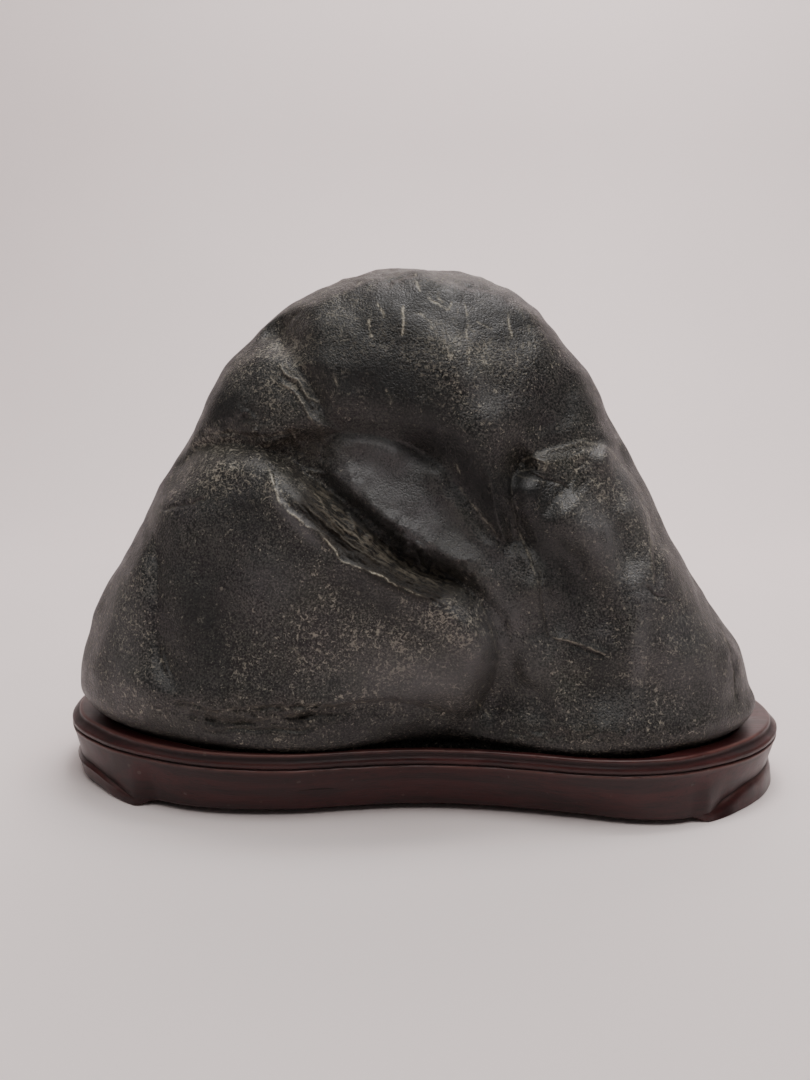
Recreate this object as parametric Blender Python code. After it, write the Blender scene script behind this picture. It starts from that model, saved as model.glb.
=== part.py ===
"""A scholar's stone on its carved hardwood stand.

The stone is one dark, water-worn piece. A cleft runs down across its front and
parts a big belly on the left from a smooth bowl, a dome above it and a plate on
the right. It sits in a seat that is sunk in the stand, and can be lifted out.
The stand is one carved piece: a kidney-shaped plan, a moulded rim, an apron that
draws in towards the floor, and a broad rounded foot at each end.

Lengths are written in millimetres and become metres when the meshes are made.
The stand rests on z = 0. +X is to the right and +Y is to the back.
"""
import bmesh
import bpy
import numpy as np
from math import pi
from mathutils import Vector, noise

MM = 0.001
OBJECT_NAME = "scholars_rock"

# ---------------------------------------------------------------- stand sizes
STAND_HEIGHT = 31.6
SEAT_FLOOR = 13.6          # the stone's underside lies 0.4 above this
UNDERSIDE = 3.6            # the board that carries the stone starts here
APRON_CLEAR = 2.6          # the apron stops this far above the floor
APRON_WALL = 9.0           # width of the apron's lower edge
FOOT_PAD = 16.0            # width of the flat under each foot
STAND_STATIONS = 104       # sections round the plan

# Plan of the rim, counter-clockwise from the right end.
STAND_PLAN = (
    (171, 6), (169, 22), (162, 38), (150, 52), (131, 63), (108, 70), (82, 73),
    (50, 73), (10, 72), (-30, 72.5), (-64, 74), (-93, 74), (-118, 70), (-139, 61),
    (-155, 48.5), (-165, 34), (-170, 17), (-170.5, 1), (-168.5, -13), (-163, -27),
    (-154, -38.5), (-140, -51), (-122, -61), (-102, -68.5), (-80, -72), (-57, -71.5),
    (-32, -66.5), (-6, -62.5), (20, -62.5), (44, -65.5), (67, -69.5), (89, -70), (110, -65.5),
    (129, -56.5), (145, -45.5), (157, -33), (165.5, -19), (170, -6))
SEAT_GAP = 0.9             # the seat is cut to the stone, with this gap round it
RIM_WIDTH = 3.2            # but the flat of the rim is no wider than this along the
RIM_WIDTH_ENDS = 17.0      # front, and this round the ends and the back
END_STARTS = 104           # |x| where the long sides begin to turn into the ends
FOOT_TIP_LEFT = 131        # |x| of the foot tips
FOOT_TIP_RIGHT = 126
FOOT_RUN = 27              # from its tip the foot takes this long to reach full height
FOOT_HEIGHT = 10.8         # height of the crease over the foot, round the end
FOOT_TIP_HEIGHT = 4.0      # and at its tip
# How far the bottom edge stands in from the plan line: the apron at the middle and
# against each foot, and the foot at its tip and round the end.
APRON_INSET = 10.5
APRON_INSET_LEFT = 7.0
APRON_INSET_RIGHT = 1.5
FOOT_INSET_LEFT = (1.5, 5.0)
FOOT_INSET_RIGHT = (-1.5, 1.0)

# ---------------------------------------------------------------- stone sizes
# Level sections from the seat to the crown: height, left, right, front, back.
STONE_SECTIONS = (
    (14, -66, 62, -26, 26), (14.1, -116, 112, -54, 48), (17.5, -141, 138, -68, 60),
    (24, -148.5, 145.5, -73, 64), (31.5, -151.5, 148.5, -75, 66.5), (35, -157.5, 153, -77, 67.5),
    (41, -162.3, 156.5, -76, 67.5), (50, -163, 154, -71.5, 67), (62, -161.5, 149.5, -66, 66),
    (74, -157.5, 142, -63, 64.5),
    (86, -152.8, 133.8, -61.5, 63.5), (98, -147.3, 125.5, -60, 62), (110, -140.8, 117.5, -58, 60),
    (122, -134, 110.4, -56, 58), (134, -126.8, 103.4, -54, 56), (146, -119.6, 96.7, -51, 54),
    (158, -112.8, 90, -48, 52), (170, -107.3, 83.2, -45.5, 49.5), (182, -102.6, 76.8, -43, 46.5),
    (194, -94.8, 69.5, -40, 43.5), (203, -85, 60, -37, 40.5), (212, -75.8, 52.8, -33, 36.5),
    (221, -66, 46, -28, 32), (229, -51.6, 36, -21.5, 26), (234.5, -36.5, 22.5, -14, 18),
    (237.4, -23, 7, -7, 9))
STONE_FOOT = (-2, 14, 0)       # x, z and y of the lowest point
STONE_CROWN = (-9, 238.2, 1)   # x, z and y of the highest point
# How square the sections are, at the seat and from the belly up; 2 is an ellipse.
SEAT_POWER, SECTION_POWER = 2.2, 2.5
# The front is drawn in at the middle, low down, as the stand is: x, reach either
# side, depth, and the height where it has died out.
WAIST_X, WAIST_REACH, WAIST_DEPTH, WAIST_TOP = 8, 48, 26, 80

# The front is carved as it is laid out on the upright plane y = 0, seen from this
# point. The back is laid out the same way from the other side.
FRONT_EYE = (-11.5, -531, 213.8)
BACK_EYE = (0, 560, 180)
SUNK = 9.0                     # relief of this height lies on the plain form
GROUND = 2.5                   # height of the ground between the swellings
BLEND = 0.6                    # how sharply swellings meet, per millimetre

# Swellings: name, height, width of the rounded border, outline on y = 0.
FRONT_SWELLINGS = (
    ("belly", 19.0, 15.0, (
        (-190, 40), (-164, 90), (-132, 134), (-120, 147), (-106, 155), (-92, 158),
        (-79, 157), (-68, 150), (-59, 144), (-47, 136), (-37, 127), (-23, 114), (-9, 103),
        (6, 95), (18, 89), (27, 81), (32, 70), (35, 57), (33, 43), (28, 29), (20, 12),
        (-2, 0), (-24, -8), (-60, -16), (-120, -20), (-180, -10))),
    ("shoulder", 13.0, 12.0, (
        (-135, 156), (-125, 186), (-108, 206), (-89, 206), (-72, 206), (-58, 200),
        (-52, 188), (-46, 176), (-42, 163), (-58, 158), (-73, 152), (-79, 153),
        (-92, 154), (-106, 152), (-118, 146))),
    ("dome", 17.0, 22.0, (
        (-92, 208), (-72, 207), (-72, 193), (-66, 183), (-59, 174), (-50, 164),
        (-29, 160), (-12, 156), (4, 146), (20, 129), (33, 110), (41, 113), (40, 130),
        (42, 150), (53, 157), (78, 160), (92, 157), (135, 150), (150, 210), (90, 280),
        (-15, 290), (-95, 260))),
    ("bowl", 7.5, 9.0, (
        (-50, 149), (-40, 163), (-20, 168), (8, 158), (30, 144), (46, 146), (58, 120),
        (64, 96), (66, 70), (60, 40), (46, 40), (38, 58), (34, 74), (20, 89), (6, 96), (-9, 104),
        (-23, 116), (-37, 128), (-47, 137))),
    ("right_plate", 9.5, 12.0, (
        (40, 151), (46, 155), (53, 157), (67, 158), (79, 161), (92, 158), (127, 150),
        (200, 78), (198, 10), (154, -10), (100, -14), (70, -6), (60, 20), (54, 40), (48, 52),
        (53, 62), (57, 75), (54, 90), (50, 102), (45, 116), (40, 130), (38, 142))),
)

# Lines: name, height (below zero for a groove), how far it reaches on the left and
# on the right of the way it runs, and its points on y = 0.
FRONT_LINES = (
    ("cleft", -7.0, 4.5, 6.0, (
        (-66, 150), (-47, 136), (-37, 127), (-23, 114), (-9, 103), (6, 95), (18, 89), (27, 81))),
    ("bowl_lip", 4.0, 9.0, 4.5, (
        (-46, 144), (-40, 138), (-32, 131), (-21, 121), (-9, 113), (3, 106), (17, 101),
        (32, 95), (42, 88))),
    ("bowl_floor", -6.5, 17.0, 14.0, (
        (-60, 165), (-44, 163), (-27, 160), (-8, 153), (8, 142), (22, 127), (34, 111), (44, 92))),
    ("belly_crest", 3.5, 6.0, 12.0, (
        (-76, 153), (-72, 145), (-69, 135), (-62, 122), (-53, 113), (-45, 104), (-36, 100),
        (-25, 96), (-13, 91), (-1, 87), (11, 82), (20, 76), (27, 66), (29, 52), (24, 38))),
    ("dome_ridge", 5.0, 13.0, 16.0, (
        (-2, 222), (9, 195), (16, 177), (26, 163), (32, 149), (37, 130), (43, 111))),
    ("valley", -4.0, 9.0, 9.0, ((43, 88), (43, 68), (39, 50), (34, 34), (30, 14))),
    ("plate_crease", -2.0, 4.0, 3.0, (
        (38, 152), (39, 140), (44, 122), (50, 104), (54, 88), (56, 70), (58, 54))),
    ("plate_brow", 1.2, 6.0, 14.0, ((50, 148), (60, 151), (76, 154), (90, 152))),
    ("plate_ridge", 9.0, 32.0, 10.0, (
        (54, 139), (61, 134), (70, 127), (82, 116), (92, 104), (100, 90), (104, 73),
        (104, 56), (103, 38))),
    ("plate_edge", 4.0, 22.0, 10.0, (
        (72, 157), (88, 152), (96, 140), (101, 124), (106, 108), (112, 90), (116, 74))),
    ("left_seam", -2.2, 9.0, 9.0, ((-131, 125), (-130, 100), (-129, 75), (-126, 48), (-119, 30))),
    ("left_crack", -1.8, 3.5, 2.0, (
        (-132, 127), (-126, 124), (-118, 127), (-111, 128), (-104, 131))),
    ("zigzag_crack", -1.8, 2.4, 3.5, (
        (-71, 196), (-68, 189), (-63, 184), (-59, 177), (-53, 168), (-51, 164))),
    ("bottom_ledge", -4.5, 2.0, 9.0, (
        (-127, 34), (-115, 24), (-103, 21), (-85, 19), (-66, 20), (-46, 27), (-30, 30),
        (-12, 30), (2, 28), (14, 26), (26, 30))),
    ("small_ledge", 1.0, 6.0, 2.5, ((58, 65), (71, 65), (84, 60), (88, 57))),
    ("right_seam", -1.6, 3.0, 3.0, ((130, 91), (140, 76), (147, 59), (150, 42), (152, 31))),
    ("right_seam_2", -1.2, 2.5, 2.5, ((141, 82), (149, 67), (153, 52), (156, 37))),
)

# Bosses and hollows: name, height (below zero for a hollow), x, z, half length, half
# width, and the turn of the long axis in degrees.
FRONT_BOSSES = (
    ("upper_right_hollow", -6.5, 64, 180, 20, 24, 0),
    ("plate_hollow", -4.0, 68, 98, 26, 12, -50),
    ("belly_dip", -4.0, -103, 88, 12, 26, 5),
    ("belly_facet", 1.8, -76, 98, 18, 14, 20),
    ("right_belly", 4.0, 130, 62, 18, 32, 15),
    ("right_toe_hollow", -2.5, 84, 42, 12, 14, 0),
    ("shoulder_pit", -4.0, -93, 163, 7, 6, 0),
    ("valley_lump", 2.5, 41, 77, 7, 6, 0),
    ("valley_lump_2", 2.5, 47, 90, 6, 6, 0),
    ("notch", -5.0, -76, 212, 9, 7, 40),
)

BACK_SWELLINGS = (
    ("back_shoulder", 13.5, 30.0, (
        (-80, 250), (-104, 186), (-76, 142), (-30, 118), (20, 124), (64, 142), (104, 170),
        (70, 244), (0, 270))),
    ("back_left_flank", 14.0, 30.0, (
        (-190, 30), (-176, 110), (-124, 176), (-88, 184), (-66, 148), (-42, 114), (-30, 70),
        (-38, 16), (-110, 4))),
    ("back_middle", 11.5, 24.0, (
        (-46, 130), (-38, 72), (-44, 10), (20, 2), (70, 12), (62, 60), (68, 110), (48, 148),
        (8, 140))),
    ("back_right_flank", 13.5, 28.0, (
        (60, 152), (56, 104), (54, 56), (62, 8), (120, 0), (186, 24), (166, 112), (106, 178))),
)
BACK_LINES = (
    ("back_cleft", -4.5, 6.0, 7.0, ((-92, 178), (-72, 148), (-46, 120), (-34, 76), (-40, 30))),
    ("back_vein", -2.5, 4.0, 5.0, ((62, 150), (60, 104), (58, 60), (66, 22))),
)
BACK_BOSSES = (
    ("back_hollow", -4.0, 14, 168, 26, 16, 20),
    ("back_scoop", -4.0, -100, 92, 16, 28, 0),
    ("back_boss", 3.5, 112, 66, 24, 22, 0),
)

# Lumpiness over the whole surface: size of the lumps, height.
LUMPS = ((46.0, 2.2), (19.0, 1.3), (8.5, 0.5))
LUMPS_START, LUMPS_FULL = 32.0, 48.0   # the part in the seat is smooth
RELIEF_START, RELIEF_FULL = 31.0, 58.0
WANDER = ((22.0, 2.4), (7.0, 0.9))     # how far the laid-out lines stray

STONE_START_DETAIL = 4         # subdivisions of the sphere the stone starts from
STONE_ERROR = 0.75             # edges that miss the surface by more than this are split
STONE_ROUNDS = 4
STONE_FACE_LIMIT = 6600


# ------------------------------------------------------------------ utilities
def smoothstep(low, high, value):
    t = np.clip((value - low) / (high - low), 0.0, 1.0)
    return t * t * (3.0 - 2.0 * t)


def rounded_path(points, closed, steps=4):
    """A smooth line through the points (Catmull-Rom)."""
    pts = np.array(points, float)
    if closed:
        pts = np.vstack([pts[-1], pts, pts[0], pts[1]])
    else:
        pts = np.vstack([2 * pts[0] - pts[1], pts, 2 * pts[-1] - pts[-2]])
    line = []
    for a, b, c, d in zip(pts[:-3], pts[1:-2], pts[2:-1], pts[3:]):
        for t in np.arange(steps) / steps:
            line.append(0.5 * (2 * b + (c - a) * t + (2 * a - 5 * b + 4 * c - d) * t ** 2
                               + (3 * b - a - 3 * c + d) * t ** 3))
    line.append(pts[1] if closed else pts[-2])
    return np.array(line)


def distance_to(path, u, v):
    """Distance of each (u, v) from the path, how far along it from 0 to 1, and
    whether it lies on the left of the way the path runs."""
    best = np.full(u.shape, 1e9)
    along = np.zeros(u.shape)
    left = np.zeros(u.shape, bool)
    count = len(path) - 1
    for i in range(count):
        (ax, ay), (bx, by) = path[i], path[i + 1]
        dx, dy = bx - ax, by - ay
        t = np.clip(((u - ax) * dx + (v - ay) * dy) / (dx * dx + dy * dy + 1e-9), 0.0, 1.0)
        gap = np.hypot(u - ax - t * dx, v - ay - t * dy)
        nearer = gap < best
        best = np.where(nearer, gap, best)
        along = np.where(nearer, (i + t) / count, along)
        left = np.where(nearer, dx * (v - ay) > dy * (u - ax), left)
    return best, along, left


def inside(path, u, v):
    """True where (u, v) is inside the closed path (crossing count)."""
    crossed = np.zeros(u.shape, bool)
    for (ax, ay), (bx, by) in zip(path[:-1], path[1:]):
        if ay == by:
            continue
        spans = (ay > v) != (by > v)
        crossed ^= spans & (u < ax + (v - ay) * (bx - ax) / (by - ay))
    return crossed


def noise_field(points, size, seed):
    """Smooth noise about 0 at each point, with lumps of the given size."""
    shift = Vector((seed * 17.3, seed * 5.1, seed * 9.7))
    return np.array([noise.noise(Vector(p) / size + shift) for p in points])


# ---------------------------------------------------------------- stone shape
def stone_profile(lift):
    """Height, left, right, front and back at lift 0 (the foot) to 1 (the crown)."""
    foot_x, foot_z, foot_y = STONE_FOOT
    crown_x, crown_z, crown_y = STONE_CROWN
    rows = np.array([(foot_z, foot_x, foot_x, foot_y, foot_y), *STONE_SECTIONS,
                     (crown_z, crown_x, crown_x, crown_y, crown_y)], float)
    reach = (rows[:, 2] - rows[:, 1]) * 0.3 + (rows[:, 4] - rows[:, 3]) * 0.2
    steps = np.hypot(np.diff(rows[:, 0]), np.diff(reach))
    place = np.concatenate([[0.0], np.cumsum(steps)]) / steps.sum()
    slope = np.gradient(rows, place, axis=0)
    i = np.clip(np.searchsorted(place, lift, side="right") - 1, 0, len(place) - 2)
    span = (place[i + 1] - place[i])[:, None]
    t = (lift[:, None] - place[i][:, None]) / span
    return ((2 * t ** 3 - 3 * t ** 2 + 1) * rows[i] + (t ** 3 - 2 * t ** 2 + t) * span * slope[i]
            + (3 * t ** 2 - 2 * t ** 3) * rows[i + 1] + (t ** 3 - t ** 2) * span * slope[i + 1])


def stone_form(directions):
    """The plain form, before carving, met in each direction from the middle."""
    d = directions / np.linalg.norm(directions, axis=1)[:, None]
    z, left, right, front, back = stone_profile(np.arcsin(np.clip(d[:, 2], -1, 1)) / pi + 0.5).T
    turn = np.arctan2(d[:, 1], d[:, 0])
    c, s = np.cos(turn), np.sin(turn)
    power = SEAT_POWER + (SECTION_POWER - SEAT_POWER) * smoothstep(30, 64, z)
    square = (np.abs(c) ** power + np.abs(s) ** power) ** (-1 / power)
    x = (left + right) / 2 + (right - left) / 2 * c * square
    y = (front + back) / 2 + (back - front) / 2 * s * square
    waist = WAIST_DEPTH * np.exp(-((x - WAIST_X) / WAIST_REACH) ** 2)
    y += waist * np.clip(-s, 0, 1) * smoothstep(WAIST_TOP, 30, z)
    return np.stack([x, y, z], axis=1)


def stone_normals(directions, points):
    """Outward normals of the plain form, from two neighbouring points each."""
    tilt = np.where(np.abs(directions[:, 2:3]) < 0.9, [[0.0, 0.0, 1.0]], [[1.0, 0.0, 0.0]])
    side = np.cross(tilt, directions)
    side /= np.linalg.norm(side, axis=1)[:, None]
    up = np.cross(directions, side)
    step = 0.004
    normal = np.cross(stone_form(directions + step * side) - points,
                      stone_form(directions + step * up) - points)
    return normal / (np.linalg.norm(normal, axis=1)[:, None] + 1e-12)


def carving(u, v, swellings, lines, bosses):
    """Height of the carved relief over the ground at each laid-out point."""
    height = np.exp(np.full(u.shape, BLEND * GROUND))
    for _name, rise, border, outline in swellings:
        path = rounded_path(outline, closed=True)
        gap, _along, _left = distance_to(path, u, v)
        t = np.clip(gap / border, 0.0, 1.0)
        swell = np.where(inside(path, u, v), rise * t * (2.0 - t), -gap * 2.0 * rise / border)
        height += np.exp(BLEND * np.clip(swell, -20.0, 60.0))
    height = np.log(height) / BLEND
    for _name, rise, left_reach, right_reach, points in lines:
        gap, along, left = distance_to(rounded_path(points, closed=False), u, v)
        fade = smoothstep(0.0, 0.18, along) * smoothstep(1.0, 0.82, along)
        height += rise * fade * np.exp(-(gap / np.where(left, left_reach, right_reach)) ** 2)
    for _name, rise, x, z, length, width, turn in bosses:
        c, s = np.cos(np.radians(turn)), np.sin(np.radians(turn))
        across, along = (u - x) * c + (v - z) * s, (v - z) * c - (u - x) * s
        height += rise * np.exp(-(across / length) ** 2 - (along / width) ** 2)
    return height


def laid_out(points, eye):
    """Where each point falls on the plane y = 0, seen from the eye."""
    reach = eye[1] / (eye[1] - points[:, 1])
    return (eye[0] + (points[:, 0] - eye[0]) * reach, eye[2] + (points[:, 2] - eye[2]) * reach)


def stone_surface(directions):
    """The finished surface of the stone in each direction from the middle."""
    directions = directions / np.linalg.norm(directions, axis=1)[:, None]
    form = stone_form(directions)
    normals = stone_normals(directions, form)
    stray = [sum(far * noise_field(form, size, seed) for size, far in WANDER) for seed in (1, 2)]
    points = form.copy()
    sides = ((FRONT_EYE, FRONT_SWELLINGS, FRONT_LINES, FRONT_BOSSES),
             (BACK_EYE, BACK_SWELLINGS, BACK_LINES, BACK_BOSSES))
    for eye, swellings, lines, bosses in sides:
        sight = np.array(eye, float) - form
        sight /= np.linalg.norm(sight, axis=1)[:, None]
        facing = smoothstep(0.08, 0.62, (normals * sight).sum(axis=1))
        facing *= smoothstep(RELIEF_START, RELIEF_FULL, form[:, 2])
        u, v = laid_out(form, eye)
        relief = carving(u + stray[0], v + stray[1], swellings, lines, bosses) - SUNK
        points += sight * (facing * relief)[:, None]
    rough = smoothstep(LUMPS_START, LUMPS_FULL, form[:, 2])
    lump = sum(high * noise_field(form, size, 3 + k) for k, (size, high) in enumerate(LUMPS))
    points += normals * (lump * rough)[:, None]
    points[:, 2] = np.maximum(points[:, 2], STONE_FOOT[1])
    return points


def stone_mesh():
    """A sphere whose points are carried out to the stone, and which is split again
    where its edges still miss the surface, so that creases get the small faces."""
    bm = bmesh.new()
    bmesh.ops.create_icosphere(bm, subdivisions=STONE_START_DETAIL, radius=1.0)
    for _round in range(STONE_ROUNDS):
        bm.verts.ensure_lookup_table()
        bm.edges.ensure_lookup_table()
        directions = np.array([v.co.normalized() for v in bm.verts])
        placed = stone_surface(directions)
        ends = np.array([[v.index for v in e.verts] for e in bm.edges])
        middle = directions[ends[:, 0]] + directions[ends[:, 1]]
        miss = np.linalg.norm(stone_surface(middle)
                              - (placed[ends[:, 0]] + placed[ends[:, 1]]) / 2, axis=1)
        worst = [(max(miss[e.index] for e in f.edges), f) for f in bm.faces]
        worst = sorted((pair for pair in worst if pair[0] > STONE_ERROR), key=lambda p: -p[0])
        room = (STONE_FACE_LIMIT - len(bm.faces)) // 5
        if room < 10 or not worst:
            break
        rough = {e for _miss, f in worst[:room] for e in f.edges}
        bmesh.ops.subdivide_edges(bm, edges=sorted(rough, key=lambda e: e.index), cuts=1,
                                  use_grid_fill=True)
        bmesh.ops.triangulate(bm, faces=bm.faces[:])
        for v in bm.verts:
            v.co.normalize()
    directions = np.array([v.co.normalized() for v in bm.verts])
    for v, place in zip(bm.verts, stone_surface(directions)):
        v.co = Vector(place) * MM
    bmesh.ops.recalc_face_normals(bm, faces=bm.faces[:])
    mesh = bpy.data.meshes.new("rock")
    bm.to_mesh(mesh)
    bm.free()
    mesh.shade_smooth()
    return mesh


# ---------------------------------------------------------------- stand shape
def stand_plan(count):
    """Points evenly spaced round the plan, with the outward direction at each."""
    path = rounded_path(STAND_PLAN, closed=True, steps=12)
    length = np.concatenate([[0.0], np.cumsum(np.linalg.norm(np.diff(path, axis=0), axis=1))])
    where = np.arange(count) / count * length[-1]
    x, y = np.interp(where, length, path[:, 0]), np.interp(where, length, path[:, 1])
    ahead = np.stack([np.roll(x, -1) - np.roll(x, 1), np.roll(y, -1) - np.roll(y, 1)], axis=1)
    ahead /= np.linalg.norm(ahead, axis=1)[:, None]
    return np.stack([x, y], axis=1), np.stack([ahead[:, 1], -ahead[:, 0]], axis=1)


def seat_outline():
    """Outline of the stone where it enters the stand."""
    lift = np.linspace(0.0, 0.5, 400)
    at_rim = np.interp(STAND_HEIGHT, stone_profile(lift)[:, 0], lift)
    turn = np.arange(900) / 900 * 2 * pi
    tilt = np.full(turn.shape, (at_rim - 0.5) * pi)
    ring = np.stack([np.cos(tilt) * np.cos(turn), np.cos(tilt) * np.sin(turn), np.sin(tilt)], 1)
    return stone_form(ring)[:, :2]


def stand_section(x):
    """Outer part of the section at a station: (distance out from the plan line,
    height), from the flat of the rim down the apron to the board underneath."""
    left = x < 0
    tip = FOOT_TIP_LEFT if left else FOOT_TIP_RIGHT
    end = smoothstep(END_STARTS, tip + FOOT_RUN, abs(x))
    foot = smoothstep(tip - 3, tip + FOOT_RUN, abs(x))
    crease = smoothstep(tip - 6, tip + 12, abs(x))
    on_floor = smoothstep(tip - 9, tip, abs(x))
    lift = APRON_CLEAR * (1 - on_floor)
    at_foot = APRON_INSET_LEFT if left else APRON_INSET_RIGHT
    apron_in = APRON_INSET + (at_foot - APRON_INSET) * smoothstep(60, tip - 9, abs(x))
    at_tip, at_end = FOOT_INSET_LEFT if left else FOOT_INSET_RIGHT
    foot_in = at_tip + (at_end - at_tip) * foot
    inset = apron_in * (1 - on_floor) + foot_in * on_floor
    underside = -inset - APRON_WALL - (FOOT_PAD - APRON_WALL) * on_floor
    waist = FOOT_TIP_HEIGHT + (FOOT_HEIGHT - FOOT_TIP_HEIGHT) * foot
    band = waist - lift
    top = STAND_HEIGHT
    edge = 3.0 * end
    return [
        (-1.9 - edge, top), (-0.6 - edge, top - 0.8), (-1.4 - 0.6 * edge, top - 2.4),
        (-0.4, top - 4.1), (-0.2, top - 5.9), (-1.3, top - 6.7), (-0.2, top - 7.6),
        (-1.2, top - 10.4),
        (-0.85 * inset * (1 - crease) - 3.6 * crease, waist),
        (-0.9 * inset * (1 - crease) - 2.3 * crease, lift + 0.8 * band),
        (-0.95 * inset * (1 - crease) - (0.5 * foot_in + 1.0) * crease, lift + 0.4 * band),
        (-inset, lift), (underside, lift), (underside - 1.5, UNDERSIDE)]


def stand_rings(count):
    """Sections round the stand, each from the floor of the seat over the rim."""
    plan, outward = stand_plan(count)
    seat = seat_outline()
    rings = []
    for here, out in zip(plan, outward):
        stone = seat[np.argmin(np.linalg.norm(seat - here, axis=1))]
        room = np.linalg.norm(here - stone)
        away = (here - stone) / room
        wide = smoothstep(88, 152, abs(here[0])) if here[1] < 0 else 1.0
        widest = RIM_WIDTH + (RIM_WIDTH_ENDS - RIM_WIDTH) * wide
        wall = here - away * min(room - SEAT_GAP, widest + 1.1)
        inner = ((-1.9, SEAT_FLOOR), (0.0, STAND_HEIGHT - 1.2), (1.1, STAND_HEIGHT - 0.1))
        ring = [(*(wall + away * o), z) for o, z in inner]
        ring += [(*(here + out * o), z) for o, z in stand_section(here[0])]
        rings.append(ring)
    return rings


def stand_mesh():
    """The section is swept round the plan; the seat and the underside are flat."""
    bm = bmesh.new()
    rings = [[bm.verts.new(Vector(place) * MM) for place in ring]
             for ring in stand_rings(STAND_STATIONS)]
    for here, after in zip(rings, rings[1:] + rings[:1]):
        for i in range(len(here) - 1):
            bm.faces.new((here[i], here[i + 1], after[i + 1], after[i]))
    bm.faces.new([ring[0] for ring in rings])
    bm.faces.new([ring[-1] for ring in reversed(rings)])
    bmesh.ops.recalc_face_normals(bm, faces=bm.faces[:])
    mesh = bpy.data.meshes.new("stand")
    bm.to_mesh(mesh)
    bm.free()
    mesh.shade_smooth()
    mesh.set_sharp_from_angle(angle=0.7)
    return mesh


# -------------------------------------------------------------- the two pieces
def material(name, colour, roughness):
    mat = bpy.data.materials.new(name)
    mat.use_nodes = True
    shader = mat.node_tree.nodes["Principled BSDF"]
    shader.inputs["Base Color"].default_value = (*colour, 1.0)
    shader.inputs["Roughness"].default_value = roughness
    shader.inputs["Metallic"].default_value = 0.0
    return mat


def add_piece(name, mesh, mat, collection):
    piece = bpy.data.objects.new(name, mesh)
    mesh.materials.append(mat)
    collection.objects.link(piece)
    return piece


def clear_scene():
    for obj in list(bpy.data.objects):
        bpy.data.objects.remove(obj, do_unlink=True)


clear_scene()
parts = bpy.data.collections.new(OBJECT_NAME)
bpy.context.scene.collection.children.link(parts)
add_piece("rock", stone_mesh(), material("dark_river_stone", (0.024, 0.023, 0.022), 0.45), parts)
add_piece("stand", stand_mesh(), material("rosewood", (0.050, 0.014, 0.012), 0.35), parts)
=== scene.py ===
import bmesh
import bpy
import numpy as np
from math import pi, radians
from mathutils import Matrix, Vector, noise


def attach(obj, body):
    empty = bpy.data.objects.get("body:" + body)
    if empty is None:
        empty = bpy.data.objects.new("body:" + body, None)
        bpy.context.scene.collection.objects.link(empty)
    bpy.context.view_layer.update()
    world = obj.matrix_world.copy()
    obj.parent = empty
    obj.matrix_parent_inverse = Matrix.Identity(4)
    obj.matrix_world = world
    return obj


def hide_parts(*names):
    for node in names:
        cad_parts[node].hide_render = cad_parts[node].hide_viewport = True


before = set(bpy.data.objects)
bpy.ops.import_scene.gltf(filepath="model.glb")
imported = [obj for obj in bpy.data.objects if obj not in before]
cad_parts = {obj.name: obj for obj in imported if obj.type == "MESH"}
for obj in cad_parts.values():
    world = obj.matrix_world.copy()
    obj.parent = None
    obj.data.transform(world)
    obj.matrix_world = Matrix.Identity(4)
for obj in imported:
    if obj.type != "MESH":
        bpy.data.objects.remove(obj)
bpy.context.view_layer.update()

# ------------------------------------------------------------------ the stone
# One dark river stone, worn smooth by water and rubbed with oil. A cleft crosses its
# front between a big belly and a smooth bowl. It is not fixed: it stands in the seat
# that is sunk in the wooden stand, and is lifted out by hand.
MM = 0.001

# Level sections from the seat to the crown: height, left, right, front, back.
STONE_SECTIONS = (
    (14, -66, 62, -26, 26), (14.1, -116, 112, -54, 48), (17.5, -141, 138, -68, 60),
    (24, -148.5, 145.5, -73, 64), (31.5, -151.5, 148.5, -75, 66.5), (35, -157.5, 153, -77, 67.5),
    (41, -162.3, 156.5, -76, 67.5), (50, -163, 154, -71.5, 67), (62, -161.5, 149.5, -66, 66),
    (74, -157.5, 142, -63, 64.5), (86, -152.8, 133.8, -61.5, 63.5), (98, -147.3, 125.5, -60, 62),
    (110, -140.8, 117.5, -58, 60), (122, -134, 110.4, -56, 58), (134, -126.8, 103.4, -54, 56),
    (146, -119.6, 96.7, -51, 54), (158, -112.8, 90, -48, 52), (170, -107.3, 83.2, -45.5, 49.5),
    (182, -102.6, 76.8, -43, 46.5), (194, -94.8, 69.5, -40, 43.5), (203, -85, 60, -37, 40.5),
    (212, -75.8, 52.8, -33, 36.5), (221, -66, 46, -28, 32), (229, -51.6, 36, -21.5, 26),
    (234.5, -36.5, 22.5, -14, 18), (237.4, -23, 7, -7, 9))
STONE_FOOT = (-2, 14, 0)
STONE_CROWN = (-9, 238.2, 1)
SEAT_POWER, SECTION_POWER = 2.2, 2.5
WAIST_X, WAIST_REACH, WAIST_DEPTH, WAIST_TOP = 8, 48, 26, 80

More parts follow.
